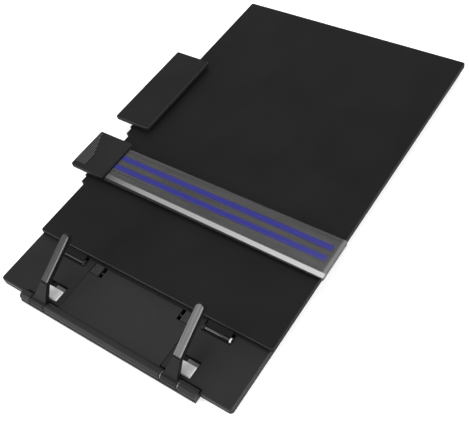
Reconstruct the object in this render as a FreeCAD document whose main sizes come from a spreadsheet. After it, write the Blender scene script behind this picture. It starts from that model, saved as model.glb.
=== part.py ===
import FreeCAD, Part
import math
import os
import re

import Sketcher

# Fold-flat copy stand with a line guide.
# Everything is laid out with x from the board's left edge, y from the base's front edge and z from
# the desk. The last step moves each piece so that the origin is under the middle of the whole.

SIZES = {
    # Document board
    "board_wide": 235.0,
    "board_long": 335.0,
    "board_front": 52.0,
    "board_thick": 4.2,
    "board_plate": 1.9,
    "board_wall": 1.8,
    "board_corner": 2.5,
    "board_edge_break": 0.5,
    "board_gap": 0.3,
    "rib_thick": 1.2,
    "rib_deep": 1.5,
    "rib_end_room": 15.0,
    "rib_side_clear": 6.0,
    "rib_column_clear": 4.0,
    # Base shells
    "base_left": 0.6,
    "base_right_inset": 2.4,
    "base_back_inset": 2.5,
    "base_corner": 3.0,
    "base_wall": 2.0,
    "base_plate": 1.8,
    "base_edge_break": 0.5,
    "tray_high": 4.9,
    "cover_thick": 2.0,
    "parting_groove": 0.4,
    "cutaway_right": 24.0,
    "cutaway_lap": 5.0,
    # Feet and cover screws
    "foot_radius": 6.0,
    "foot_proud": 1.0,
    "foot_sunk": 1.0,
    "foot_play": 0.1,
    "foot_inset": 16.0,
    "foot_back_left_x": 40.0,
    "screw_radius": 1.2,
    "screw_long": 3.4,
    "screw_play": 0.1,
    "screw_head_radius": 2.4,
    "screw_head_high": 1.1,
    "screw_head_sunk": 1.3,
    "screw_tip_room": 0.2,
    "boss_radius": 3.2,
    "screw_side_inset": 11.0,
    "screw_back_left_x": 42.0,
    "screw_front_y": 32.0,
    "screw_back_inset": 39.5,
    # Board hinge
    "hinge_fore": 6.5,
    "hinge_sunk": 0.5,
    "hinge_left_x": 43.0,
    "hinge_right_inset": 45.0,
    "hinge_window_wide": 27.0,
    "hinge_window_fore": 3.5,
    "hinge_window_aft": 5.5,
    "hinge_pin_radius": 1.5,
    "hinge_pin_inset": 0.2,
    "pin_play": 0.05,
    "lug_wide": 2.0,
    "lug_radius": 2.6,
    "hook_radius": 3.0,
    "hook_side_play": 0.5,
    "tongue_thick": 1.8,
    # Prop leg and its rack
    "prop_back_room": 21.5,
    "prop_wide": 106.0,
    "prop_thick": 4.0,
    "prop_plate": 1.8,
    "prop_wall": 1.6,
    "prop_knuckle_deep": 3.0,
    "prop_lug_wide": 3.0,
    "prop_lug_gap": 0.5,
    "prop_lug_radius": 2.6,
    "prop_pin_radius": 1.5,
    "prop_pin_hold": 6.0,
    "prop_rib_inset": 36.0,
    "foot_bar_radius": 1.3,
    "foot_cheek_wide": 9.5,
    "sleeve_radius": 2.0,
    "sleeve_side_gap": 0.3,
    "sleeve_room": 1.2,
    "prop_window_gap": 1.0,
    "foot_end_room": 6.5,
    "window_wall": 1.6,
    "tooth_high": 2.1,
    "tooth_long": 6.0,
    "tooth_land": 0.6,
    "tooth_inset": 10.0,
    "tooth_first_room": 11.5,
    "tooth_last_room": 20.0,
    # Front ledge: rail, roll and axle
    "ledge_front": 6.2,
    "rail_left": 28.3,
    "rail_right_inset": 27.6,
    "rail_high": 3.3,
    "rail_clear": 0.3,
    "rail_side_gap": 0.5,
    "rail_seat": 3.2,
    "roll_radius": 4.2,
    "roll_fore": 1.5,
    "roll_sunk": 1.5,
    "roll_gap": 0.4,
    "rail_lip_round": 0.6,
    "roll_edge_break": 0.5,
    "hub_gap": 1.0,
    "left_segment_wide": 10.2,
    "right_segment_wide": 15.5,
    "axle_radius": 1.5,
    "axle_cap": 1.0,
    # Page arms
    "hub_wide": 15.0,
    "post_long": 19.8,
    "post_thick": 4.0,
    "finger_long": 43.7,
    "finger_wide": 7.2,
    "finger_inset": 1.7,
    "finger_thick": 3.6,
    "finger_tip_round": 3.3,
    "strip_thick": 0.9,
    "strip_side": 0.5,
    "strip_start": 2.0,
    "strip_tip": 1.6,
    "strip_tip_round": 2.8,
    "tab_front": 5.6,
    "tab_long": 9.9,
    "tab_reach": 4.3,
    "tab_wide": 16.9,
    "tab_thick": 2.1,
    "tab_proud": 0.3,
    "tab_round": 1.2,
    "tab_bevel": 0.7,
    "tab_gap": 0.5,
    "tab_web_thick": 2.4,
    "tab_web_side": 3.0,
    "tab_seat_long": 6.0,
    "scoop_back": 20.4,
    "scoop_floor_thick": 1.6,
    "scoop_wall": 1.6,
    "spring_room_radius": 3.2,
    "spring_room_deep": 8.0,
    "arm_spring_radius": 2.45,
    "arm_spring_wire": 0.7,
    "arm_spring_long": 7.1,
    # Flap and its latches
    "flap_left_inset": 9.1,
    "flap_right_inset": 5.1,
    "flap_back_room": 2.0,
    "flap_thick": 2.2,
    "flap_gap": 0.4,
    "flap_step_y": 6.5,
    "flap_step_high": 0.4,
    "well_lip": 2.0,
    "well_wall": 1.6,
    "latch_notch_wide": 12.9,
    "latch_notch_long": 9.5,
    "latch_wide": 8.8,
    "latch_side_gap": 0.6,
    "latch_gap": 0.3,
    "latch_proud": 0.3,
    "latch_drop": 1.3,
    "latch_ridge_wide": 0.8,
    "latch_ridge_high": 0.5,
    "latch_ridge_pitch": 1.7,
    "nose_reach": 2.4,
    "nose_wide": 4.0,
    "nose_high": 1.3,
    "nose_gap": 0.2,
    "latch_boss_wide": 4.8,
    "latch_boss_long": 9.75,
    "latch_boss_deep": 1.7,
    "stem_radius": 1.2,
    "stem_long": 5.2,
    "stem_play": 0.08,
    "stem_drop": 1.95,
    "stem_room": 8.75,
    "latch_spring_radius": 0.85,
    "latch_spring_wire": 0.4,
    "latch_spring_long": 6.85,
    # Edge grips: what the line-guide slider and the clip share
    "carriage_left": 7.0,
    "carriage_right": 20.0,
    "carriage_thick": 2.3,
    "carriage_gap": 0.3,
    "carriage_wall_top": 10.8,
    "hook_rib_thick": 1.5,
    "hook_rib_high": 2.0,
    "grip_pin_x": 4.0,
    "grip_pin_z": 13.5,
    "grip_pin_radius": 1.25,
    "grip_pin_proud": 0.4,
    "grip_ear_radius": 2.2,
    "grip_ear_wide": 3.0,
    "grip_ear_gap": 0.4,
    "grip_ear_inset": 3.4,
    "jaw_top": 18.9,
    "jaw_plate": 1.8,
    "jaw_wall": 1.6,
    "jaw_skirt": 1.7,
    "jaw_rib_thick": 1.6,
    "jaw_edge_break": 0.5,
    "pad_gap": 0.2,
    "pad_thick": 1.0,
    "pad_side": 0.4,
    "pad_end": 1.5,
    "grip_spring_radius": 2.0,
    "grip_spring_wire": 0.8,
    "grip_spring_pitch": 1.6,
    "grip_spring_leg": 4.0,
    # Line-guide slider and guide bar
    "nub_reach": 4.9,
    "slider_reach": 21.8,
    "slider_right": 16.0,
    "slider_front": 118.6,
    "slider_long": 44.4,
    "slider_corner": 2.6,
    "slider_small_corner": 1.5,
    "slider_nub": 7.5,
    "slider_tail": 3.0,
    "slider_rib_x": 9.6,
    "ridge_wide": 0.8,
    "ridge_high": 0.5,
    "ridge_pitch": 1.9,
    "ridge_inset": 2.6,
    "ridge_front_room": 4.9,
    "ridge_back_room": 2.4,
    "ridge_shorter": 4.4,
    "guide_overhang": 2.9,
    "guide_thick": 1.5,
    "guide_wide": 39.0,
    "guide_setback": 0.2,
    "guide_gap": 0.2,
    "guide_bevel_wide": 5.6,
    "guide_bevel_drop": 0.9,
    "guide_lip_thick": 1.7,
    "guide_lip_deep": 2.2,
    "guide_corner": 1.5,
    "stake_radius": 1.0,
    "stake_play": 0.1,
    "stake_proud": 0.3,
    "stake_x": 13.0,
    "stake_pitch": 13.0,
    # Clip
    "clip_reach": 22.2,
    "clip_right": 16.3,
    "clip_front": 184.5,
    "clip_long": 100.0,
    "clip_corner": 2.0,
    "clip_nub": 8.0,
    "clip_tail": 0.5,
    "clip_rib_setback": 4.0,
    "clip_spring_inset": 30.0,
    # Overrun of every cut
    "overrun": 1.0,
}

ANGLES = {
    "post_angle": 58.0,
    "finger_angle": 27.6,
    "hook_open_start": 60.0,
    "hook_open_end": 190.0,
    "tilt_most": 70.0,
}

COUNTS = {
    "tooth_count": 9,
    "latch_ridge_count": 5,
    "ridge_count": 6,
    "stake_count": 3,
    "grip_spring_turns": 3,
    "wire_sides": 6,
    "side_rib_count": 8,
    "front_rib_count": 3,
}

# Places and sizes that follow from the ones above
DERIVED = {
    "middle_x": "(guide_end - clip_reach) / 2",
    "middle_y": "(board_back - ledge_front) / 2",
    "base_right": "board_wide - base_right_inset",
    "base_long": "board_back - base_back_inset",
    "cutaway_front": "board_front + cutaway_lap",
    "tray_low": "foot_proud + cover_thick",
    "base_top": "tray_low + tray_high",
    "tray_roof": "base_top - base_plate",
    "notch_left": "rail_left - rail_side_gap",
    "notch_right": "rail_right + rail_side_gap",
    "board_low": "base_top + board_gap",
    "board_face": "board_low + board_thick",
    "board_under": "board_face - board_plate",
    "board_back": "board_front + board_long",
    "rib_pitch": "(board_long - rib_end_room) / side_rib_count",
    "rib_column_left": "prop_window_left - rib_column_clear",
    "rib_column_right": "prop_window_right + rib_column_clear - rib_thick",
    "hinge_y": "board_front - hinge_fore",
    "hinge_z": "base_top - hinge_sunk",
    "hook_wide": "hinge_window_wide - 2 * lug_wide - 2 * hook_side_play",
    "hinge_bore": "hinge_pin_radius + pin_play",
    "prop_bore": "prop_pin_radius + pin_play",
    "prop_pivot_reach": "(board_back - hinge_y - prop_back_room) / 2",
    "pivot_y": "hinge_y + prop_pivot_reach",
    "prop_foot_y": "hinge_y + 2 * prop_pivot_reach",
    "prop_left": "(board_wide - prop_wide) / 2",
    "prop_right": "prop_left + prop_wide",
    "prop_low": "hinge_z - prop_thick / 2",
    "prop_top": "hinge_z + prop_thick / 2",
    "prop_plate_end": "prop_foot_y - sleeve_radius - sleeve_room",
    "prop_window_left": "prop_left - prop_lug_gap - prop_lug_wide - prop_window_gap",
    "prop_window_right": "prop_right + prop_lug_gap + prop_lug_wide + prop_window_gap",
    "prop_window_front": "hinge_y + 2 * prop_pivot_reach * cos(tilt_most) - foot_end_room",
    "prop_window_back": "prop_foot_y + foot_end_room",
    "tooth_first_y": "prop_window_front + tooth_first_room",
    "tooth_last_y": "prop_window_back - tooth_last_room",
    "roll_z": "base_top - roll_sunk",
    "rail_low": "foot_proud + rail_clear",
    "left_hub_x": "rail_left + left_segment_wide + hub_gap",
    "barrel_left": "left_hub_x + hub_wide + hub_gap",
    "rail_right": "base_right - rail_right_inset",
    "right_segment_x": "rail_right - right_segment_wide",
    "right_hub_x": "right_segment_x - hub_gap - hub_wide",
    "barrel_right": "right_hub_x - hub_gap",
    "axle_bore": "axle_radius + pin_play",
    "elbow_y": "post_long * cos(post_angle) - roll_fore",
    "elbow_z": "roll_z + post_long * sin(post_angle)",
    "flap_left": "barrel_left + flap_left_inset",
    "flap_right": "barrel_right - flap_right_inset",
    "flap_low": "base_top - flap_thick",
    "flap_back": "board_front - flap_back_room",
    "tab_top": "base_top + tab_proud",
    "tab_under": "tab_top - tab_thick",
    "tab_web_low": "tab_under - tab_web_thick / 2",
    "scoop_low": "tray_low + scoop_floor_thick",
    "latch_y": "flap_back - latch_notch_long / 2",
    "latch_low": "flap_low - latch_drop",
    "latch_top": "base_top + latch_proud",
    "stem_z": "base_top - stem_drop",
    "stem_bore": "stem_radius + stem_play",
    "carriage_top": "board_low - carriage_gap",
    "carriage_low": "carriage_top - carriage_thick",
    "hook_rib_x": "board_wall + carriage_gap",
    "jaw_under": "jaw_top - jaw_plate",
    "jaw_low": "jaw_under - jaw_skirt",
    "pad_low": "board_face + pad_gap",
    "rib_low": "pad_low + pad_thick",
    "grip_bore": "grip_pin_radius + pin_play",
    "slider_back": "slider_front + slider_long",
    "clip_back": "clip_front + clip_long",
    "clip_rib_x": "clip_right - clip_rib_setback",
    "guide_end": "board_wide + guide_overhang",
    "guide_front": "slider_front + guide_setback",
    "guide_back": "guide_front + guide_wide",
    "guide_low": "jaw_under - guide_thick",
}

doc = FreeCAD.newDocument("CopyHolder")
sheet = doc.addObject("Spreadsheet::Sheet", "Sizes")
CELLS = {**SIZES, **ANGLES, **COUNTS}
for row, (name, size) in enumerate(CELLS.items(), start=1):
    sheet.set(f"A{row}", name)
    sheet.set(f"B{row}", str(size))
    sheet.setAlias(f"B{row}", name)
doc.recompute()


# Reading and binding sizes

def expand(text):
    """Spell out each derived size in the sheet's own cells."""
    def word(match):
        name = match.group(0)
        if name in DERIVED:
            return "(" + expand(DERIVED[name]) + ")"
        if name in CELLS:
            return "Sizes." + name
        return name
    return re.sub(r"[a-z_]+", word, text)


def size(text):
    return float(sheet.evalExpression(expand(text)))


def bind(item, target, text):
    item.setExpression(target, expand(text))


# Sketches and features of a body

def origin_part(body, role):
    return [item for item in body.Origin.OriginFeatures if item.Role == role][0]


def new_sketch(body, name, role, level="0"):
    """A sketch on one of the body's own planes, moved along the plane's normal by level."""
    sketch = body.newObject("Sketcher::SketchObject", name)
    sketch.AttachmentSupport = [(origin_part(body, role), "")]
    sketch.MapMode = "FlatFace"
    bind(sketch, "AttachmentOffset.Base.z", level)
    return sketch


def tilt_sketch(body, name, y, z, angle):
    """A sketch whose x runs along X and whose y rises from Y by the angle."""
    sketch = new_sketch(body, name, "XY_Plane", z)
    bind(sketch, "AttachmentOffset.Base.y", y)
    turn = FreeCAD.Rotation(FreeCAD.Vector(1, 0, 0), size(angle))
    base = sketch.AttachmentOffset.Base
    sketch.AttachmentOffset = FreeCAD.Placement(base, turn)
    bind(sketch, "AttachmentOffset.Rotation.Angle", angle)
    return sketch


def fix_point(sketch, edge, end, x, y):
    """Pin one end of an edge to a place given in named sizes."""
    index = sketch.addConstraint(Sketcher.Constraint("DistanceX", -1, 1, edge, end, size(x)))
    bind(sketch, f"Constraints[{index}]", x)
    index = sketch.addConstraint(Sketcher.Constraint("DistanceY", -1, 1, edge, end, size(y)))
    bind(sketch, f"Constraints[{index}]", y)


def add_loop(sketch, corners):
    """A closed outline of straight sides through the corners."""
    first = sketch.GeometryCount
    spots = [FreeCAD.Vector(size(x), size(y), 0) for x, y in corners]
    for start, end in zip(spots, spots[1:] + spots[:1]):
        sketch.addGeometry(Part.LineSegment(start, end), False)
    count = len(spots)
    for step in range(count):
        after = first + (step + 1) % count
        sketch.addConstraint(Sketcher.Constraint("Coincident", first + step, 2, after, 1))
    for step, (x, y) in enumerate(corners):
        fix_point(sketch, first + step, 1, x, y)


def add_rectangle(sketch, left, low, right, high):
    add_loop(sketch, [(left, low), (right, low), (right, high), (left, high)])


def add_circle(sketch, x, y, radius):
    spot = FreeCAD.Vector(size(x), size(y), 0)
    edge = sketch.addGeometry(Part.Circle(spot, FreeCAD.Vector(0, 0, 1), size(radius)), False)
    fix_point(sketch, edge, 3, x, y)
    index = sketch.addConstraint(Sketcher.Constraint("Radius", edge, size(radius)))
    bind(sketch, f"Constraints[{index}]", radius)


def add_ear(sketch, x, y, radius, root):
    """A round-ended ear about (x, y) whose straight sides run up or down to the root."""
    centre = FreeCAD.Vector(size(x), size(y), 0)
    reach = size(radius)
    foot = size(root)
    rising = foot < centre.y
    start, end = (0, math.pi) if rising else (math.pi, 2 * math.pi)
    side = reach if rising else -reach
    circle = Part.Circle(centre, FreeCAD.Vector(0, 0, 1), reach)
    arc = sketch.addGeometry(Part.ArcOfCircle(circle, start, end), False)
    corner_a = FreeCAD.Vector(centre.x - side, foot, 0)
    corner_b = FreeCAD.Vector(centre.x + side, foot, 0)
    top_a = FreeCAD.Vector(centre.x - side, centre.y, 0)
    top_b = FreeCAD.Vector(centre.x + side, centre.y, 0)
    down = sketch.addGeometry(Part.LineSegment(top_a, corner_a), False)
    across = sketch.addGeometry(Part.LineSegment(corner_a, corner_b), False)
    up = sketch.addGeometry(Part.LineSegment(corner_b, top_b), False)
    for edge, after in ((arc, down), (down, across), (across, up), (up, arc)):
        sketch.addConstraint(Sketcher.Constraint("Coincident", edge, 2, after, 1))
    fix_point(sketch, arc, 3, x, y)
    index = sketch.addConstraint(Sketcher.Constraint("Radius", arc, reach))
    bind(sketch, f"Constraints[{index}]", radius)
    sketch.addConstraint(Sketcher.Constraint("Vertical", down))
    sketch.addConstraint(Sketcher.Constraint("Vertical", up))
    sketch.addConstraint(Sketcher.Constraint("Horizontal", across))
    index = sketch.addConstraint(Sketcher.Constraint("DistanceY", -1, 1, across, 1, foot))
    bind(sketch, f"Constraints[{index}]", root)


def pad(sketch, length, middle=False):
    body = sketch.getParentGeoFeatureGroup()
    feature = body.newObject("PartDesign::Pad", sketch.Name + "_pad")
    feature.Profile = sketch
    feature.SideType = "Symmetric" if middle else "One side"
    bind(feature, "Length", length)
    return feature


def pocket(sketch, depth, along=True):
    """A cut from the sketch along its plane's normal, or against it."""
    body = sketch.getParentGeoFeatureGroup()
    feature = body.newObject("PartDesign::Pocket", sketch.Name + "_cut")
    feature.Profile = sketch
    feature.Reversed = along
    bind(feature, "Length", depth)
    return feature


def block(body, name, left, front, low, right, back, high):
    """Add a straight-sided block between two heights."""
    sketch = new_sketch(body, name, "XY_Plane", low)
    add_rectangle(sketch, left, front, right, back)
    return pad(sketch, f"({high}) - ({low})")


def hollow(body, name, left, front, low, right, back, high):
    """Cut a straight-sided hollow between two heights."""
    sketch = new_sketch(body, name, "XY_Plane", low)
    add_rectangle(sketch, left, front, right, back)
    return pocket(sketch, f"({high}) - ({low})")


def row(feature, role, length, count):
    """Repeat a feature along one of the body's own axes."""
    body = feature.getParentGeoFeatureGroup()
    pattern = body.newObject("PartDesign::LinearPattern", feature.Name + "_row")
    pattern.Originals = [feature]
    pattern.Direction = (origin_part(body, role), [""])
    bind(pattern, "Length", length)
    bind(pattern, "Occurrences", count)
    body.Tip = pattern
    return pattern


def soften(body, name, kind, radius, wanted):
    """Round or bevel the edges of the body that the test wanted picks out."""
    doc.recompute()
    tip = body.Tip
    edges = []
    for index, edge in enumerate(tip.Shape.Edges, start=1):
        if wanted(edge):
            edges.append(f"Edge{index}")
    feature = body.newObject("PartDesign::" + kind, name)
    feature.Base = (tip, edges)
    bind(feature, "Radius" if kind == "Fillet" else "Size", radius)
    return feature


NEAR = 1e-4


def same(one, other):
    return abs(one - other) < NEAR


def upright_at(places):
    """A test for upright edges that stand at the given places."""
    spots = [(size(x), size(y)) for x, y in places]

    def wanted(edge):
        box = edge.BoundBox
        if box.ZLength < NEAR or box.XLength > NEAR or box.YLength > NEAR:
            return False
        return any(same(box.XMin, x) and same(box.YMin, y) for x, y in spots)
    return wanted


def rim_at(level):
    """A test for the outermost edges that lie level at the given height."""
    height = size(level)

    def wanted(edge):
        box = edge.BoundBox
        return same(box.ZMin, height) and same(box.ZMax, height)
    return wanted


def ring_of(radius):
    """A test for whole circles of the given radius."""
    length = 2 * math.pi * size(radius)

    def wanted(edge):
        return same(edge.Length, length)
    return wanted


# Plain solids

def rod(name, radius, length, x, y, z, direction):
    """A round rod from a place along X, Y or Z."""
    turns = {
        "X": FreeCAD.Rotation(FreeCAD.Vector(0, 1, 0), 90),
        "Y": FreeCAD.Rotation(FreeCAD.Vector(1, 0, 0), -90),
        "Z": FreeCAD.Rotation(),
    }
    item = doc.addObject("Part::Cylinder", name)
    item.Placement = FreeCAD.Placement(FreeCAD.Vector(), turns[direction])
    bind(item, "Radius", radius)
    bind(item, "Height", length)
    bind(item, "Placement.Base.x", x)
    bind(item, "Placement.Base.y", y)
    bind(item, "Placement.Base.z", z)
    return item


def slab(name, left, front, low, right, back, high):
    item = doc.addObject("Part::Box", name)
    bind(item, "Length", f"({right}) - ({left})")
    bind(item, "Width", f"({back}) - ({front})")
    bind(item, "Height", f"({high}) - ({low})")
    bind(item, "Placement.Base.x", left)
    bind(item, "Placement.Base.y", front)
    bind(item, "Placement.Base.z", low)
    return item


def tube(name, outside, inside, length, x, y, z):
    """A round tube along X."""
    outer = rod(f"{name}_outer", outside, length, x, y, z, "X")
    inner = rod(f"{name}_inner", inside, f"{length} + 2 * overrun", f"{x} - overrun", y, z, "X")
    item = doc.addObject("Part::Cut", name)
    item.Base = outer
    item.Tool = inner
    return item


def fuse(name, pieces):
    item = doc.addObject("Part::MultiFuse", name)
    item.Shapes = pieces
    item.Refine = True
    return item


def group(name, pieces):
    item = doc.addObject("Part::Compound", name)
    item.Links = pieces
    return item


# Wound springs

def arc_between(start, control, end):
    """The arc that leaves start and reaches end along the two legs that meet at control."""
    chord_middle = (start + end) * 0.5
    half_chord = (end - start).Length / 2
    rise = (control - chord_middle).Length
    half_turn = math.atan2(rise, half_chord)
    sagitta = half_chord * math.tan(half_turn / 2)
    top = chord_middle + (control - chord_middle).normalize() * sagitta
    return Part.Arc(start, top, end).toShape()


def biarc(start, start_way, end, end_way):
    """Two tangent arcs from one point and direction to another."""
    span = end - start
    ways = start_way + end_way
    spread = 2 * (1 - start_way.dot(end_way))
    lead = span.dot(ways)
    reach = (-lead + math.sqrt(lead * lead + spread * span.dot(span))) / spread
    first = start + start_way * reach
    last = end - end_way * reach
    joint = (first + last) * 0.5
    return [arc_between(start, first, joint), arc_between(joint, last, end)]


def coil(name, x, y, z, radius, wire, pitch, turns, leg):
    """A wound spring about an axis along Y, one unbroken wire whose two ends run straight.

    The wire has flat sides and starts below the axis."""
    centre = FreeCAD.Vector(size(x), size(y), size(z))
    across = FreeCAD.Vector(-1, 0, 0)
    upward = FreeCAD.Vector(0, 0, 1)
    ahead = FreeCAD.Vector(0, 1, 0)
    mean = size(radius)
    step = size(pitch)
    count = 2 * int(size(turns))

    def spot(index):
        sign = -1 if index % 2 == 0 else 1
        return centre + upward * (sign * mean) + ahead * (step * index / 2)

    def way(index):
        sign = -1 if index % 2 == 0 else 1
        return (across * (sign * 2 * math.pi * mean) + ahead * step).normalize()

    start = spot(0) - way(0) * size(leg)
    edges = [Part.LineSegment(start, spot(0)).toShape()]
    for index in range(count):
        edges += biarc(spot(index), way(index), spot(index + 1), way(index + 1))
    edges.append(Part.LineSegment(spot(count), spot(count) + way(count) * size(leg)).toShape())
    side = way(0).cross(upward)
    corners = []
    sides = int(size("wire_sides"))
    for index in range(sides):
        angle = 2 * math.pi * index / sides
        around = upward * math.cos(angle) + side * math.sin(angle)
        corners.append(start + around * (size(wire) / 2))
    section = Part.makePolygon(corners + corners[:1])
    item = doc.addObject("Part::Feature", name)
    item.Shape = Part.Wire(edges).makePipeShell([section], True, False)
    lean = math.atan(step / (2 * math.pi * mean))
    print(f"{name}: least gap between turns {step * math.cos(lean) - size(wire):.2f} mm")
    return item


nodes = []


def place(item):
    """Move a finished piece so that the origin is under the middle of the whole."""
    held = {path.lstrip("."): text for path, text in item.ExpressionEngine}
    for side in ("x", "y"):
        target = f"Placement.Base.{side}"
        start = held.get(target, "0")
        item.setExpression(target, f"{start} - {expand('middle_' + side)}")
    nodes.append(item)
    return item


# Base: upper tray, lower cover, screws and feet

BASE_OUTLINE = [
    ("base_left", "0"),
    ("notch_left", "0"),
    ("notch_left", "rail_seat"),
    ("notch_right", "rail_seat"),
    ("notch_right", "0"),
    ("base_right", "0"),
    ("base_right", "base_long"),
    ("cutaway_right", "base_long"),
    ("cutaway_right", "cutaway_front"),
    ("base_left", "cutaway_front"),
]
BASE_INSIDE = [
    ("base_left + base_wall", "base_wall"),
    ("notch_left - base_wall", "base_wall"),
    ("notch_left - base_wall", "rail_seat + base_wall"),
    ("notch_right + base_wall", "rail_seat + base_wall"),
    ("notch_right + base_wall", "base_wall"),
    ("base_right - base_wall", "base_wall"),
    ("base_right - base_wall", "base_long - base_wall"),
    ("cutaway_right + base_wall", "base_long - base_wall"),
    ("cutaway_right + base_wall", "cutaway_front - base_wall"),
    ("base_left + base_wall", "cutaway_front - base_wall"),
]
BASE_CORNERS = [BASE_OUTLINE[index] for index in (0, 5, 6, 7, 8, 9)]
SCREW_SPOTS = [
    ("base_left + screw_side_inset", "screw_front_y"),
    ("base_right - screw_side_inset", "screw_front_y"),
    ("screw_back_left_x", "base_long - screw_back_inset"),
    ("base_right - screw_side_inset", "base_long - screw_back_inset"),
]
FOOT_SPOTS = [
    ("base_left + foot_inset", "foot_inset"),
    ("base_right - foot_inset", "foot_inset"),
    ("foot_back_left_x", "base_long - foot_inset"),
    ("base_right - foot_inset", "base_long - foot_inset"),
]
HINGE_CENTRES = {
    "left": "hinge_left_x",
    "right": "board_wide - hinge_right_inset",
}
# Each page arm's hub, from its left end, and the right edge of its post and finger
ARMS = {
    "left": ("left_hub_x", "left_hub_x + hub_wide"),
    "right": ("right_hub_x", "right_hub_x + hub_wide - finger_inset"),
}


def base_tray():
    body = doc.addObject("PartDesign::Body", "base_tray")
    sketch = new_sketch(body, "tray_outline", "XY_Plane", "tray_low")
    add_loop(sketch, BASE_OUTLINE)
    pad(sketch, "tray_high")
    soften(body, "tray_corners", "Fillet", "base_corner", upright_at(BASE_CORNERS))
    soften(body, "tray_rim", "Chamfer", "base_edge_break", rim_at("base_top"))
    soften(body, "tray_groove", "Chamfer", "parting_groove", rim_at("tray_low"))
    sketch = new_sketch(body, "tray_inside", "XY_Plane", "tray_low")
    add_loop(sketch, BASE_INSIDE)
    pocket(sketch, "tray_high - base_plate")
    # Storage well under the flap, with an undercut lip for the latches
    block(body, "well_block",
          "flap_left - flap_gap - well_lip - well_wall", "rail_seat", "tray_low",
          "flap_right + flap_gap + well_lip + well_wall",
          "flap_back + flap_gap + well_lip + well_wall", "tray_roof")
    hollow(body, "well_chamber",
           "flap_left - flap_gap - well_lip", "rail_seat + base_wall", "tray_low",
           "flap_right + flap_gap + well_lip", "flap_back + flap_gap + well_lip", "tray_roof")
    hollow(body, "well_window",
           "flap_left - flap_gap", "rail_seat + base_wall", "tray_roof - overrun",
           "flap_right + flap_gap", "flap_back + flap_gap", "base_top + overrun")
    hollow(body, "well_mouth",
           "flap_left - flap_gap", "rail_seat - overrun", "flap_low - flap_gap",
           "flap_right + flap_gap", "rail_seat + base_wall + overrun", "base_top + overrun")
    for side, (left, edge) in ARMS.items():
        finger_scoop(body, side, left)
    # Window that the prop leg lies in
    block(body, "prop_block",
          "prop_window_left - window_wall", "prop_window_front - window_wall", "tray_low",
          "prop_window_right + window_wall", "prop_window_back + window_wall", "tray_roof")
    hollow(body, "prop_window",
           "prop_window_left", "prop_window_front", "tray_low - overrun",
           "prop_window_right", "prop_window_back", "base_top + overrun")
    # Screw bosses
    sketch = new_sketch(body, "bosses", "XY_Plane", "tray_low")
    for x, y in SCREW_SPOTS:
        add_circle(sketch, x, y, "boss_radius")
    pad(sketch, "tray_roof - tray_low")
    sketch = new_sketch(body, "boss_bores", "XY_Plane", "tray_low")
    for x, y in SCREW_SPOTS:
        add_circle(sketch, x, y, "screw_radius + screw_play")
    pocket(sketch, "screw_head_sunk + screw_long + screw_tip_room - cover_thick")
    for side, centre in HINGE_CENTRES.items():
        hinge_seat(body, side, centre)
    return body


def finger_scoop(body, side, left):
    """A hollow behind one hub that takes the thumb tab and leaves room for a fingertip."""
    right = f"{left} + hub_wide"
    tab_right = f"{right} + tab_reach + tab_gap"
    tab_left = f"{right} + tab_reach - tab_wide - tab_gap"
    block(body, f"scoop_block_{side}", f"{tab_left} - scoop_wall", "rail_seat", "tray_low",
          f"{tab_right} + scoop_wall", "scoop_back + scoop_wall", "tray_roof")
    hollow(body, f"scoop_{side}", tab_left, "tab_front - tab_gap", "scoop_low",
           tab_right, "scoop_back", "base_top + overrun")
    # Notch in the front wall for the web that joins the tab to the hub
    hollow(body, f"web_notch_{side}", f"{left} + tab_web_side - tab_gap", "rail_seat - overrun",
           "scoop_low", f"{right} - tab_web_side + tab_gap", "tab_front", "base_top + overrun")


def hinge_seat(body, side, centre):
    """A window with two lugs that hold one hinge pin."""
    left = f"{centre} - hinge_window_wide / 2"
    right = f"{centre} + hinge_window_wide / 2"
    hollow(body, f"hinge_window_{side}",
           left, "hinge_y - hinge_window_fore", "tray_roof - overrun",
           right, "hinge_y + hinge_window_aft", "base_top + overrun")
    for end, edge in (("outer", left), ("inner", f"{right} - lug_wide")):
        sketch = new_sketch(body, f"lug_{side}_{end}", "YZ_Plane", edge)
        add_ear(sketch, "hinge_y", "hinge_z", "lug_radius", "hinge_z - lug_radius")
        pad(sketch, "lug_wide")
    sketch = new_sketch(body, f"lug_bore_{side}", "YZ_Plane", left)
    add_circle(sketch, "hinge_y", "hinge_z", "hinge_bore")
    pocket(sketch, "hinge_window_wide")


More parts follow.
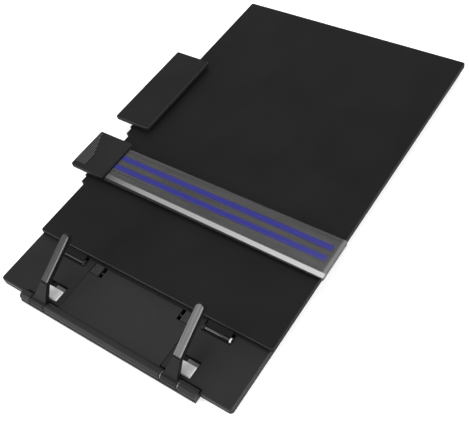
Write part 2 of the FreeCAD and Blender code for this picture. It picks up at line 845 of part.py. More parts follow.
def base_cover():
    body = doc.addObject("PartDesign::Body", "base_cover")
    sketch = new_sketch(body, "cover_outline", "XY_Plane", "foot_proud")
    add_loop(sketch, BASE_OUTLINE)
    pad(sketch, "cover_thick")
    soften(body, "cover_corners", "Fillet", "base_corner", upright_at(BASE_CORNERS))
    soften(body, "cover_groove", "Chamfer", "parting_groove", rim_at("tray_low"))
    soften(body, "cover_rim", "Chamfer", "base_edge_break", rim_at("foot_proud"))
    sketch = new_sketch(body, "foot_recesses", "XY_Plane", "foot_proud")
    for x, y in FOOT_SPOTS:
        add_circle(sketch, x, y, "foot_radius + foot_play")
    pocket(sketch, "foot_sunk")
    sketch = new_sketch(body, "screw_seats", "XY_Plane", "foot_proud")
    for x, y in SCREW_SPOTS:
        add_circle(sketch, x, y, "screw_head_radius + screw_play")
    pocket(sketch, "screw_head_sunk")
    sketch = new_sketch(body, "screw_holes", "XY_Plane", "foot_proud")
    for x, y in SCREW_SPOTS:
        add_circle(sketch, x, y, "screw_radius + screw_play")
    pocket(sketch, "cover_thick + overrun")
    # Ratchet rack: each tooth is steep towards the front, where the prop's foot leans on it
    sketch = new_sketch(body, "tooth", "YZ_Plane", "prop_window_left + tooth_inset")
    add_loop(sketch, [
        ("tooth_first_y", "tray_low"),
        ("tooth_first_y + tooth_long", "tray_low"),
        ("tooth_first_y + tooth_land", "tray_low + tooth_high"),
        ("tooth_first_y", "tray_low + tooth_high"),
    ])
    tooth = pad(sketch, "prop_window_right - prop_window_left - 2 * tooth_inset")
    row(tooth, "Y_Axis", "tooth_last_y - tooth_first_y", "tooth_count")
    return body


def cover_screws():
    screws = []
    for index, (x, y) in enumerate(SCREW_SPOTS, start=1):
        seat = "foot_proud + screw_head_sunk"
        shank = rod(f"screw_shank_{index}", "screw_radius", "screw_long", x, y, seat, "Z")
        head = rod(f"screw_head_{index}", "screw_head_radius", "screw_head_high", x, y,
                   f"{seat} - screw_head_high", "Z")
        screws.append(fuse(f"screw_{index}", [shank, head]))
    return group("cover_screws", screws)


def rubber_feet():
    feet = []
    for index, (x, y) in enumerate(FOOT_SPOTS, start=1):
        feet.append(rod(f"foot_{index}", "foot_radius", "foot_proud + foot_sunk", x, y, "0", "Z"))
    return group("rubber_feet", feet)


def hinge_pin(side, centre):
    return rod(f"hinge_pin_{side}", "hinge_pin_radius", "hinge_window_wide - 2 * hinge_pin_inset",
               f"{centre} - hinge_window_wide / 2 + hinge_pin_inset", "hinge_y", "hinge_z", "X")


# Front ledge: rail with its fixed roll ends, and the axle through the whole roll

def ledge_rail():
    body = doc.addObject("PartDesign::Body", "ledge_rail")
    sketch = new_sketch(body, "rail_section", "YZ_Plane", "rail_left")
    add_rectangle(sketch, "-ledge_front", "rail_low", "rail_seat", "rail_low + rail_high")
    pad(sketch, "rail_right - rail_left")
    soften(body, "rail_lip", "Fillet", "rail_lip_round",
           lambda edge: same(edge.BoundBox.YMax, -size("ledge_front")) and edge.BoundBox.XLength > NEAR)
    sketch = new_sketch(body, "rail_trough", "YZ_Plane", "rail_left + left_segment_wide")
    add_circle(sketch, "-roll_fore", "roll_z", "roll_radius + roll_gap")
    pocket(sketch, "right_segment_x - rail_left - left_segment_wide")
    for name, left, wide in (
        ("roll_end_left", "rail_left", "left_segment_wide"),
        ("roll_end_right", "right_segment_x", "right_segment_wide"),
    ):
        sketch = new_sketch(body, name, "YZ_Plane", left)
        add_circle(sketch, "-roll_fore", "roll_z", "roll_radius")
        pad(sketch, wide)
    sketch = new_sketch(body, "rail_bore", "YZ_Plane", "rail_left + axle_cap")
    add_circle(sketch, "-roll_fore", "roll_z", "axle_bore")
    pocket(sketch, "rail_right - rail_left - 2 * axle_cap")
    return body


def ledge_axle():
    return rod("ledge_axle", "axle_radius", "rail_right - rail_left - 2 * axle_cap",
               "rail_left + axle_cap", "-roll_fore", "roll_z", "X")


# Page arms: hub, tapering post, knee and flat finger

def page_arm(side, left, edge):
    right = f"{left} + hub_wide"
    body = doc.addObject("PartDesign::Body", f"page_arm_{side}")
    sketch = new_sketch(body, f"arm_hub_{side}", "YZ_Plane", left)
    add_circle(sketch, "-roll_fore", "roll_z", "roll_radius")
    pad(sketch, "hub_wide")
    soften(body, f"hub_ends_{side}", "Chamfer", "roll_edge_break", ring_of("roll_radius"))
    sketch = tilt_sketch(body, f"arm_post_{side}", "-roll_fore", "roll_z", "post_angle")
    add_loop(sketch, [
        (left, "0"),
        (edge, "0"),
        (edge, "post_long"),
        (f"{edge} - finger_wide", "post_long"),
    ])
    pad(sketch, "post_thick", middle=True)
    sketch = new_sketch(body, f"arm_knee_{side}", "YZ_Plane", f"{edge} - finger_wide")
    add_circle(sketch, "elbow_y", "elbow_z", "post_thick / 2")
    pad(sketch, "finger_wide")
    sketch = tilt_sketch(body, f"arm_finger_{side}", "elbow_y", "elbow_z", "finger_angle")
    add_rectangle(sketch, f"{edge} - finger_wide", "0", edge, "finger_long")
    pad(sketch, "finger_thick", middle=True)
    soften(body, f"arm_tip_{side}", "Fillet", "finger_tip_round", tip_edges("finger_long", "finger_thick"))
    # Web that carries the thumb tab
    web_left = f"{left} + tab_web_side"
    web_right = f"{right} - tab_web_side"
    block(body, f"tab_web_{side}", web_left, "-roll_fore", "tab_web_low",
          web_right, "tab_front", "tab_web_low + tab_web_thick")
    block(body, f"tab_seat_{side}", web_left, "-roll_fore", "tab_web_low",
          web_right, "tab_front + tab_seat_long", "tab_under")
    sketch = new_sketch(body, f"arm_bore_{side}", "YZ_Plane", left)
    add_circle(sketch, "-roll_fore", "roll_z", "axle_bore")
    pocket(sketch, "hub_wide")
    sketch = new_sketch(body, f"arm_spring_room_{side}", "YZ_Plane", left)
    add_circle(sketch, "-roll_fore", "roll_z", "spring_room_radius")
    pocket(sketch, "spring_room_deep")
    return body


def tip_edges(reach, thick):
    """A test for the short edges through the thickness at the finger's far end."""
    half_way = size(f"elbow_y + ({reach}) / 2 * cos(finger_angle)")
    length = size(thick)

    def wanted(edge):
        box = edge.BoundBox
        return same(edge.Length, length) and box.XLength < NEAR and box.Center.y > half_way
    return wanted


def finger_strip(side, edge):
    body = doc.addObject("PartDesign::Body", f"finger_strip_{side}")
    angle = "finger_angle"
    lift_y = f"elbow_y - finger_thick / 2 * sin({angle})"
    lift_z = f"elbow_z + finger_thick / 2 * cos({angle})"
    sketch = tilt_sketch(body, f"strip_outline_{side}", lift_y, lift_z, angle)
    add_rectangle(sketch, f"{edge} - finger_wide + strip_side", "strip_start",
                  f"{edge} - strip_side", "finger_long - strip_tip")
    pad(sketch, "strip_thick")
    soften(body, f"strip_tip_{side}", "Fillet", "strip_tip_round",
           tip_edges("finger_long - strip_tip", "strip_thick"))
    return body


def thumb_tab(side, left):
    """A level plate behind the hub. A thumb lifts it to swing the arm forward off the page."""
    right = f"{left} + hub_wide + tab_reach"
    body = doc.addObject("PartDesign::Body", f"thumb_tab_{side}")
    block(body, f"tab_plate_{side}", f"{right} - tab_wide", "tab_front", "tab_under",
          right, "tab_front + tab_long", "tab_top")
    corners = [(x, y) for x in (f"{right} - tab_wide", right) for y in ("tab_front", "tab_front + tab_long")]
    soften(body, f"tab_corners_{side}", "Fillet", "tab_round", upright_at(corners))
    soften(body, f"tab_border_{side}", "Chamfer", "tab_bevel", rim_at("tab_top"))
    return body


def arm_spring(side, left):
    """The room that the wound spring fills around the axle, against the bottom of the hub's bore."""
    return tube(f"arm_spring_{side}", "arm_spring_radius + arm_spring_wire / 2",
                "arm_spring_radius - arm_spring_wire / 2", "arm_spring_long",
                f"{left} + spring_room_deep - arm_spring_long", "-roll_fore", "roll_z")


# Flap over the storage well, with two squeeze latches

LATCH_SIDES = {
    "left": ("flap_left", 1),
    "right": ("flap_right", -1),
}


def from_edge(edge, way, distance):
    """A place at some distance from one edge of the flap towards its middle."""
    return f"{edge} + ({distance})" if way > 0 else f"{edge} - ({distance})"


def ordered(edge, way, near, far):
    """The two x places at near and far from an edge, smaller first."""
    places = [from_edge(edge, way, near), from_edge(edge, way, far)]
    return places if way > 0 else places[::-1]


def ledge_flap():
    body = doc.addObject("PartDesign::Body", "ledge_flap")
    sketch = new_sketch(body, "flap_barrel", "YZ_Plane", "barrel_left")
    add_circle(sketch, "-roll_fore", "roll_z", "roll_radius")
    pad(sketch, "barrel_right - barrel_left")
    soften(body, "barrel_ends", "Chamfer", "roll_edge_break", ring_of("roll_radius"))
    block(body, "flap_plate", "flap_left", "-roll_fore", "flap_low",
          "flap_right", "flap_back", "base_top")
    block(body, "flap_step", "flap_left", "-roll_fore", "flap_low",
          "flap_right", "flap_step_y", "base_top + flap_step_high")
    for side, (edge, way) in LATCH_SIDES.items():
        left, right = ordered(edge, way, "latch_notch_wide", "latch_notch_wide + latch_boss_long")
        block(body, f"latch_boss_{side}", left, "latch_y - latch_boss_wide / 2",
              "flap_low - latch_boss_deep", right, "latch_y + latch_boss_wide / 2", "flap_low")
        left, right = ordered(edge, way, "-overrun", "latch_notch_wide")
        hollow(body, f"latch_notch_{side}", left, "flap_back - latch_notch_long",
               "flap_low - overrun", right, "flap_back + overrun", "base_top + overrun")
        start, end = ordered(edge, way, "latch_notch_wide", "latch_notch_wide + stem_room")
        sketch = new_sketch(body, f"stem_bore_{side}", "YZ_Plane", start)
        add_circle(sketch, "latch_y", "stem_z", "stem_bore")
        pocket(sketch, f"({end}) - ({start})")
    sketch = new_sketch(body, "flap_bore", "YZ_Plane", "barrel_left")
    add_circle(sketch, "-roll_fore", "roll_z", "axle_bore")
    pocket(sketch, "barrel_right - barrel_left")
    return body


def flap_latch(side, edge, way):
    body = doc.addObject("PartDesign::Body", f"flap_latch_{side}")
    front = "flap_back - latch_notch_long + latch_gap"
    left, right = ordered(edge, way, "latch_side_gap", "latch_side_gap + latch_wide")
    block(body, f"latch_block_{side}", left, front, "latch_low", right, "flap_back", "latch_top")
    # Nose that catches under the tray's lip
    left, right = ordered(edge, way, "latch_side_gap - nose_reach", "latch_side_gap")
    block(body, f"latch_nose_{side}", left, "latch_y - nose_wide / 2",
          "tray_roof - nose_gap - nose_high", right, "latch_y + nose_wide / 2",
          "tray_roof - nose_gap")
    # Stem that slides in the flap's bore
    start, end = ordered(edge, way, "latch_side_gap + latch_wide",
                         "latch_side_gap + latch_wide + stem_long")
    sketch = new_sketch(body, f"latch_stem_{side}", "YZ_Plane", start)
    add_circle(sketch, "latch_y", "stem_z", "stem_radius")
    pad(sketch, f"({end}) - ({start})")
    # Ridges for the finger
    first = ordered(edge, way, "latch_side_gap", "latch_side_gap + latch_wide")[0]
    margin = "(latch_wide - (latch_ridge_count - 1) * latch_ridge_pitch - latch_ridge_wide) / 2"
    start = f"{first} + {margin}"
    ridge = block(body, f"latch_ridge_{side}", start, front, "latch_top",
                  f"{start} + latch_ridge_wide", "flap_back", "latch_top + latch_ridge_high")
    row(ridge, "X_Axis", "(latch_ridge_count - 1) * latch_ridge_pitch", "latch_ridge_count")
    return body


def latch_spring(side, edge, way):
    """The room that the wound spring fills at the bottom of the stem's bore."""
    bore_end = "latch_notch_wide + stem_room"
    start = ordered(edge, way, f"{bore_end} - latch_spring_long", bore_end)[0]
    return tube(f"latch_spring_{side}", "latch_spring_radius + latch_spring_wire / 2",
                "latch_spring_radius - latch_spring_wire / 2", "latch_spring_long",
                start, "latch_y", "stem_z")


# Document board with its hinge hooks, ribs and prop lugs

def document_board():
    body = doc.addObject("PartDesign::Body", "document_board")
    sketch = new_sketch(body, "board_outline", "XY_Plane", "board_low")
    add_rectangle(sketch, "0", "board_front", "board_wide", "board_back")
    pad(sketch, "board_thick")
    corners = [(x, y) for x in ("0", "board_wide") for y in ("board_front", "board_back")]
    soften(body, "board_corners", "Fillet", "board_corner", upright_at(corners))
    soften(body, "board_rim", "Chamfer", "board_edge_break", rim_at("board_face"))
    hollow(body, "board_inside", "board_wall", "board_front + board_wall", "board_low",
           "board_wide - board_wall", "board_back - board_wall", "board_under")
    board_ribs(body)
    for side, centre in HINGE_CENTRES.items():
        hinge_hook(body, side, centre)
    prop_lugs(body)
    return body


def board_ribs(body):
    low = "board_under - rib_deep"
    for name, x in (("rib_long_left", "rib_column_left"), ("rib_long_right", "rib_column_right")):
        block(body, name, x, "board_front + board_wall", low,
              f"{x} + rib_thick", "board_back - board_wall", "board_under")
    for name, left, right, count in (
        ("rib_left", "rib_side_clear", "rib_column_left", "side_rib_count"),
        ("rib_right", "rib_column_right", "board_wide - board_wall", "side_rib_count"),
        ("rib_front", "rib_column_left", "rib_column_right", "front_rib_count"),
    ):
        start = "board_front + rib_pitch - rib_thick"
        rib = block(body, name, left, start, low, right, f"{start} + rib_thick", "board_under")
        row(rib, "Y_Axis", f"({count} - 1) * rib_pitch", count)


def hinge_hook(body, side, centre):
    """A tongue and an open hook that snaps over one hinge pin."""
    left = f"{centre} - hook_wide / 2"
    sketch = new_sketch(body, f"hook_{side}", "YZ_Plane", left)
    add_circle(sketch, "hinge_y", "hinge_z", "hook_radius")
    pad(sketch, "hook_wide")
    block(body, f"tongue_{side}", left, "hinge_y", "hinge_z + hook_radius - tongue_thick",
          f"{left} + hook_wide", "board_front + board_wall", "hinge_z + hook_radius")
    sketch = new_sketch(body, f"hook_bore_{side}", "YZ_Plane", left)
    add_circle(sketch, "hinge_y", "hinge_z", "hinge_bore")
    pocket(sketch, "hook_wide")
    reach = "2 * hook_radius"
    sketch = new_sketch(body, f"hook_mouth_{side}", "YZ_Plane", left)
    add_loop(sketch, [
        ("hinge_y", "hinge_z"),
        (f"hinge_y + {reach} * cos(hook_open_start)", f"hinge_z + {reach} * sin(hook_open_start)"),
        (f"hinge_y - {reach}", f"hinge_z + {reach}"),
        (f"hinge_y + {reach} * cos(hook_open_end)", f"hinge_z + {reach} * sin(hook_open_end)"),
    ])
    pocket(sketch, "hook_wide")


def prop_lugs(body):
    for side, left in (
        ("left", "prop_left - prop_lug_gap - prop_lug_wide"),
        ("right", "prop_right + prop_lug_gap"),
    ):
        sketch = new_sketch(body, f"prop_lug_{side}", "YZ_Plane", left)
        add_ear(sketch, "pivot_y", "hinge_z", "prop_lug_radius", "board_under")
        pad(sketch, "prop_lug_wide")
        sketch = new_sketch(body, f"prop_lug_bore_{side}", "YZ_Plane", left)
        add_circle(sketch, "pivot_y", "hinge_z", "prop_bore")
        pocket(sketch, "prop_lug_wide")


# Prop leg that stands the board up, with its pins and rubber foot

def prop_leg():
    body = doc.addObject("PartDesign::Body", "prop_leg")
    sketch = new_sketch(body, "prop_outline", "XY_Plane", "prop_low")
    add_loop(sketch, [
        ("prop_left", "pivot_y"),
        ("prop_right", "pivot_y"),
        ("prop_right", "prop_foot_y"),
        ("prop_right - foot_cheek_wide", "prop_foot_y"),
        ("prop_right - foot_cheek_wide", "prop_plate_end"),
        ("prop_left + foot_cheek_wide", "prop_plate_end"),
        ("prop_left + foot_cheek_wide", "prop_foot_y"),
        ("prop_left", "prop_foot_y"),
    ])
    pad(sketch, "prop_thick")
    sketch = new_sketch(body, "prop_knuckle", "YZ_Plane", "prop_left")
    add_circle(sketch, "pivot_y", "hinge_z", "prop_thick / 2")
    pad(sketch, "prop_wide")
    for side, left in (("left", "prop_left"), ("right", "prop_right - foot_cheek_wide")):
        sketch = new_sketch(body, f"foot_cheek_{side}", "YZ_Plane", left)
        add_circle(sketch, "prop_foot_y", "hinge_z", "prop_thick / 2")
        pad(sketch, "foot_cheek_wide")
    sketch = new_sketch(body, "foot_bar", "YZ_Plane", "prop_left")
    add_circle(sketch, "prop_foot_y", "hinge_z", "foot_bar_radius")
    pad(sketch, "prop_wide")
    hollow(body, "prop_inside", "prop_left + prop_wall", "pivot_y + prop_knuckle_deep", "prop_low",
           "prop_right - prop_wall", "prop_plate_end - prop_wall", "prop_top - prop_plate")
    for side, x in (("left", "prop_left + prop_rib_inset"), ("right", "prop_right - prop_rib_inset")):
        block(body, f"prop_rib_{side}", f"{x} - prop_wall / 2", "pivot_y + prop_knuckle_deep",
              "prop_low", f"{x} + prop_wall / 2", "prop_plate_end - prop_wall",
              "prop_top - prop_plate")
    for side, left in (("left", "prop_left"), ("right", "prop_right - prop_pin_hold")):
        sketch = new_sketch(body, f"prop_pin_bore_{side}", "YZ_Plane", left)
        add_circle(sketch, "pivot_y", "hinge_z", "prop_bore")
        pocket(sketch, "prop_pin_hold")
    return body


def prop_pins():
    long = "prop_lug_wide + prop_lug_gap + prop_pin_hold"
    pins = []
    for side, left in (
        ("left", "prop_left - prop_lug_gap - prop_lug_wide"),
        ("right", "prop_right - prop_pin_hold"),
    ):
        pins.append(rod(f"prop_pin_{side}", "prop_pin_radius", long, left, "pivot_y", "hinge_z", "X"))
    return group("prop_pins", pins)


def prop_foot_pad():
    left = "prop_left + foot_cheek_wide + sleeve_side_gap"
    long = "prop_wide - 2 * foot_cheek_wide - 2 * sleeve_side_gap"
    return tube("prop_foot_pad", "sleeve_radius", "foot_bar_radius + pin_play", long, left,
                "prop_foot_y", "hinge_z")


# Edge grips: a carriage that clasps the board's left edge and a sprung jaw on a pin above it

def grip_carriage(kind, front, back, jaw_front, jaw_back):
    body = doc.addObject("PartDesign::Body", f"{kind}_carriage")
    sketch = new_sketch(body, f"{kind}_clasp", "XZ_Plane", f"-({back})")
    add_loop(sketch, [
        ("-carriage_left", "carriage_low"),
        ("carriage_right", "carriage_low"),
        ("carriage_right", "carriage_top"),
        ("hook_rib_x + hook_rib_thick", "carriage_top"),
        ("hook_rib_x + hook_rib_thick", "carriage_top + hook_rib_high"),
        ("hook_rib_x", "carriage_top + hook_rib_high"),
        ("hook_rib_x", "carriage_top"),
        ("-carriage_gap", "carriage_top"),
        ("-carriage_gap", "carriage_wall_top"),
        ("-carriage_left", "carriage_wall_top"),
    ])
    pad(sketch, f"({back}) - ({front})")
    # The front end is slimmer, where nothing stands on it
    hollow(body, f"{kind}_nub", "-carriage_left - overrun", f"{front} - overrun",
           "carriage_low - overrun", "-nub_reach", jaw_front, "carriage_wall_top + overrun")
    inset = "(grip_ear_inset + grip_ear_wide + grip_ear_gap)"
    grip_ears(body, f"{kind}_lower", f"{jaw_front} + {inset}", f"{jaw_back} - {inset}",
              "carriage_wall_top")
    return body


def grip_ears(body, name, front, back, root):
    """Two ears on the pin, the first behind front and the second before back."""
    for side, edge in (("front", f"{front} + grip_ear_wide"), ("back", back)):
        sketch = new_sketch(body, f"{name}_ear_{side}", "XZ_Plane", f"-({edge})")
        add_ear(sketch, "-grip_pin_x", "grip_pin_z", "grip_ear_radius", root)
        pad(sketch, "grip_ear_wide")
        sketch = new_sketch(body, f"{name}_bore_{side}", "XZ_Plane", f"-({edge})")
        add_circle(sketch, "-grip_pin_x", "grip_pin_z", "grip_bore")
        pocket(sketch, "grip_ear_wide")


def grip_pin(kind, jaw_front, jaw_back):
    inset = "grip_ear_inset - grip_pin_proud"
    front = f"{jaw_front} + {inset}"
    return rod(f"{kind}_pin", "grip_pin_radius", f"({jaw_back} - {jaw_front}) - 2 * ({inset})",
               "-grip_pin_x", front, "grip_pin_z", "Y")


def grip_spring(name, middle):
    front = f"{middle} - grip_spring_turns * grip_spring_pitch / 2"
    return coil(name, "-grip_pin_x", front, "grip_pin_z", "grip_spring_radius",
                "grip_spring_wire", "grip_spring_pitch", "grip_spring_turns", "grip_spring_leg")


def slider_jaw():
    body = doc.addObject("PartDesign::Body", "slider_jaw")
    sketch = new_sketch(body, "slider_outline", "XY_Plane", "jaw_low")
    add_rectangle(sketch, "-slider_reach", "slider_front", "slider_right", "slider_back")
    pad(sketch, "jaw_top - jaw_low")
    soften(body, "slider_big_corner", "Fillet", "slider_corner",
           upright_at([("-slider_reach", "slider_front")]))
    soften(body, "slider_corners", "Fillet", "slider_small_corner",
           upright_at([("-slider_reach", "slider_back"), ("slider_right", "slider_front"),
                       ("slider_right", "slider_back")]))
    soften(body, "slider_rim", "Chamfer", "jaw_edge_break", rim_at("jaw_top"))
    # Hollow underneath, open on the right where the guide bar lies
    sketch = new_sketch(body, "slider_inside", "XY_Plane", "jaw_low")
    add_loop(sketch, [
        ("slider_corner - slider_reach", "slider_front + jaw_wall"),
        ("slider_rib_x", "slider_front + jaw_wall"),
        ("slider_rib_x", "slider_front - overrun"),
        ("slider_right + overrun", "slider_front - overrun"),
        ("slider_right + overrun", "slider_back + overrun"),
        ("slider_rib_x", "slider_back + overrun"),
        ("slider_rib_x", "slider_back - jaw_wall"),
        ("jaw_wall - slider_reach", "slider_back - jaw_wall"),
        ("jaw_wall - slider_reach", "slider_front + slider_corner"),
    ])
    pocket(sketch, "jaw_skirt")
    block(body, "slider_rib", "slider_rib_x - jaw_rib_thick", "slider_front + jaw_wall", "rib_low",
          "slider_rib_x", "slider_back - jaw_wall", "jaw_under")
    grip_ears(body, "slider_upper", "slider_front + grip_ear_inset",
              "slider_back - grip_ear_inset", "jaw_under")
    sketch = new_sketch(body, "stakes", "XY_Plane", "guide_low - stake_proud")
    for x, y in stake_spots():
        add_circle(sketch, x, y, "stake_radius")
    pad(sketch, "jaw_under - guide_low + stake_proud")
    # Thumb ridges along the left edge, each shorter at the back than the one before
    for step in range(int(size("ridge_count"))):
        start = f"ridge_inset - slider_reach + {step} * ridge_pitch"
        block(body, f"thumb_ridge_{step + 1}", start, "slider_front + ridge_front_room", "jaw_top",
              f"{start} + ridge_wide", f"slider_back - ridge_back_room - {step} * ridge_shorter",
              "jaw_top + ridge_high")
    return body


def stake_spots():
    """Centres of the studs that hold the guide bar under the slider."""
    count = int(size("stake_count"))
    middle = "guide_front + guide_wide / 2"
    return [("stake_x", f"{middle} + ({step} - (stake_count - 1) / 2) * stake_pitch")
            for step in range(count)]


def guide_bar():
    body = doc.addObject("PartDesign::Body", "guide_bar")
    sketch = new_sketch(body, "guide_section", "YZ_Plane", "slider_rib_x + guide_gap")
    add_loop(sketch, [
        ("guide_front", "guide_low"),
        ("guide_back", "guide_low"),
        ("guide_back", "jaw_under"),
        ("guide_front + guide_bevel_wide", "jaw_under"),
        ("guide_front", "jaw_under - guide_bevel_drop"),
    ])
    pad(sketch, "guide_end - slider_rib_x - guide_gap")
    block(body, "guide_lip", "guide_end - guide_lip_thick", "guide_front",
          "guide_low - guide_lip_deep", "guide_end", "guide_back", "guide_low")
    soften(body, "guide_corners", "Fillet", "guide_corner",
           upright_at([("guide_end", "guide_front"), ("guide_end", "guide_back")]))
    sketch = new_sketch(body, "stake_holes", "XY_Plane", "guide_low")
    for x, y in stake_spots():
        add_circle(sketch, x, y, "stake_radius + stake_play")
    pocket(sketch, "guide_thick")
    return body


def clip_jaw():
    body = doc.addObject("PartDesign::Body", "clip_jaw")
    sketch = new_sketch(body, "clip_outline", "XY_Plane", "jaw_low")
    add_rectangle(sketch, "-clip_reach", "clip_front", "clip_right", "clip_back")
    pad(sketch, "jaw_top - jaw_low")
    corners = [(x, y) for x in ("-clip_reach", "clip_right") for y in ("clip_front", "clip_back")]
    soften(body, "clip_corners", "Fillet", "clip_corner", upright_at(corners))
    soften(body, "clip_rim", "Chamfer", "jaw_edge_break", rim_at("jaw_top"))
    hollow(body, "clip_inside", "jaw_wall - clip_reach", "clip_front + jaw_wall", "jaw_low",
           "clip_right - jaw_wall", "clip_back - jaw_wall", "jaw_under")
    block(body, "clip_rib", "clip_rib_x - jaw_rib_thick", "clip_front + jaw_wall", "rib_low",
          "clip_rib_x", "clip_back - jaw_wall", "jaw_under")
    grip_ears(body, "clip_upper", "clip_front + grip_ear_inset", "clip_back - grip_ear_inset",
              "jaw_under")
    return body


def jaw_pad(kind, rib_x, front, back):
    """A rubber strip under a jaw's rib."""
    return slab(f"{kind}_pad", f"{rib_x} - jaw_rib_thick - pad_side", f"{front} + jaw_wall + pad_end",
                "pad_low", f"{rib_x} + pad_side", f"{back} - jaw_wall - pad_end", "rib_low")


def clip_springs():
    return group("clip_springs", [
        grip_spring("clip_spring_front", "clip_front + clip_spring_inset"),
        grip_spring("clip_spring_back", "clip_back - clip_spring_inset"),
    ])


# Put the whole together

place(base_tray())
place(base_cover())
place(cover_screws())
place(rubber_feet())
place(ledge_rail())
place(ledge_axle())
for side, centre in HINGE_CENTRES.items():
    place(hinge_pin(side, centre))
for side, (left, edge) in ARMS.items():
    place(page_arm(side, left, edge))
    place(finger_strip(side, edge))
    place(thumb_tab(side, left))
    place(arm_spring(side, left))
place(ledge_flap())
for side, (edge, way) in LATCH_SIDES.items():
    place(flap_latch(side, edge, way))
    place(latch_spring(side, edge, way))
place(document_board())
place(prop_leg())
place(prop_pins())
place(prop_foot_pad())
place(grip_carriage("slider", "slider_front - slider_nub", "slider_back + slider_tail",
                    "slider_front", "slider_back"))
place(slider_jaw())
place(grip_pin("slider", "slider_front", "slider_back"))
place(grip_spring("slider_spring", "(slider_front + slider_back) / 2"))
place(jaw_pad("slider", "slider_rib_x", "slider_front", "slider_back"))
place(guide_bar())
place(grip_carriage("clip", "clip_front - clip_nub", "clip_back + clip_tail",
                    "clip_front", "clip_back"))
place(clip_jaw())
place(grip_pin("clip", "clip_front", "clip_back"))
place(clip_springs())
place(jaw_pad("clip", "clip_rib_x", "clip_front", "clip_back"))

doc.recompute()

# Check everything before writing
for item in doc.Objects:
    if "Invalid" in item.State or "Error" in item.State:
        raise RuntimeError(f"{item.Name} did not build: {item.State}")
    if item.TypeId == "PartDesign::Pocket":
        if item.Shape.Volume > item.BaseFeature.Shape.Volume - NEAR:
            raise RuntimeError(f"{item.Name} cuts nothing")
for item in nodes:
    if item.Shape.isNull() or not item.Shape.isValid():
        raise RuntimeError(f"{item.Label} has no sound shape")

os.makedirs("parts", exist_ok=True)
for item in nodes:
    item.Shape.exportStep(f"parts/{item.Label}.step")
    box = item.Shape.BoundBox
    print(f"{item.Label}: {len(item.Shape.Solids)} solid, {item.Shape.Volume:.0f} mm3,"
          f" x {box.XMin:.1f} {box.XMax:.1f} y {box.YMin:.1f} {box.YMax:.1f}"
          f" z {box.ZMin:.1f} {box.ZMax:.1f}")
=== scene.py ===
# %% [markdown]
# # A fold-flat copy stand, dressed
# The stand lies closed on a desk: a thin base tray, a document board hinged on top of it, a clear
# line guide on a slider, a side clip, a front ledge with a rolled edge, and two sprung page arms.
# The shapes come in ready from the construction model. This lesson gives them their plastics,
# rubber and steel, adds the small things that were left for it, and sets up the picture.

# %% Load the frame
import math

import bpy
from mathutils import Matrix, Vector


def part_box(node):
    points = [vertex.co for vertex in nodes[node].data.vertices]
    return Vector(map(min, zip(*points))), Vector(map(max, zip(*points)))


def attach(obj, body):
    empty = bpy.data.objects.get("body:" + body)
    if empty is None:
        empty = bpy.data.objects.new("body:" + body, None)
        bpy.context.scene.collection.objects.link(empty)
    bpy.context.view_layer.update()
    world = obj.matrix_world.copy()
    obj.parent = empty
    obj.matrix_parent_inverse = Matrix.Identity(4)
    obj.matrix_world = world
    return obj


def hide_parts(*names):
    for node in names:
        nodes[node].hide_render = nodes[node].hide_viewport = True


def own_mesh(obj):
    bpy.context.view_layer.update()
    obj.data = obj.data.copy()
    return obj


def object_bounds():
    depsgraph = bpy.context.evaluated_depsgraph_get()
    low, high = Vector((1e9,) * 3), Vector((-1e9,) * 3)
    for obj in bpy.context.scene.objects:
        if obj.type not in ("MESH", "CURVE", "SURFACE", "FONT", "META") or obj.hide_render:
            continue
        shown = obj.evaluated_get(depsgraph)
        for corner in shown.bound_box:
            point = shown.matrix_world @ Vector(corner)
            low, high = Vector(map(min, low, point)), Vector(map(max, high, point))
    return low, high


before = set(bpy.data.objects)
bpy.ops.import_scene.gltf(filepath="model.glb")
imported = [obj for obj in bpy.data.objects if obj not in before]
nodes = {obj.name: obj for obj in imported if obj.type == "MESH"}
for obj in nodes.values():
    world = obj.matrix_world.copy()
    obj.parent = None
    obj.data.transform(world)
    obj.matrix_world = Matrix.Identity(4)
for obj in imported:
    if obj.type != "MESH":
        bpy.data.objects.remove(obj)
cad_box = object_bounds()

MM = 0.001
low_corner, high_corner = cad_box
print("size in mm:", [round((b - a) / MM, 1) for a, b in zip(low_corner, high_corner)])

# %% [markdown]
# ## The camera
# The photograph looks down on the stand from the front right. Its four board corners fix where
# the camera stood, how it was turned and how long its lens was, so these are plain numbers: the
# place in metres, the turn in degrees, and the lens and its sensor in millimetres. The picture's
# centre is the lens's centre, so there is no shift.

# %% Camera
CAMERA_PLACE = (0.30608, -0.32254, 0.48897)
CAMERA_TURN = (38.508, 8.785, 33.856)
LENS = 57.17
SENSOR_WIDE = 36.0
NEAREST = 0.01
FARTHEST = 20.0

camera = bpy.data.objects.new("camera", bpy.data.cameras.new("camera"))
bpy.context.scene.collection.objects.link(camera)
camera.location = CAMERA_PLACE
camera.rotation_euler = [math.radians(angle) for angle in CAMERA_TURN]
camera.data.lens = LENS
camera.data.sensor_width = SENSOR_WIDE
camera.data.clip_start = NEAREST
camera.data.clip_end = FARTHEST
bpy.context.scene.camera = camera
bpy.context.scene.view_settings.view_transform = "Standard"
print("camera at", [round(value, 3) for value in camera.location])

# %% [markdown]
# ## Helpers for building materials
# A material is a small tree of nodes. These helpers add a node with its inputs set and join its
# sockets, so that each finish below reads as a short list. Nearly all of a noise lies in the middle
# part of 0 to 1, so that part is what gets stretched.

# %% Node helpers
NOISE_LOW = 0.3
NOISE_HIGH = 0.7


def new_finish(name):
    """A new material with its tree, its Principled shader and the piece's own coordinates."""
    material = bpy.data.materials.new(name)
    material.use_nodes = True
    tree = material.node_tree
    shader = next(node for node in tree.nodes if node.type == "BSDF_PRINCIPLED")
    place = tree.nodes.new("ShaderNodeTexCoord")
    return material, tree, shader, place.outputs["Object"]


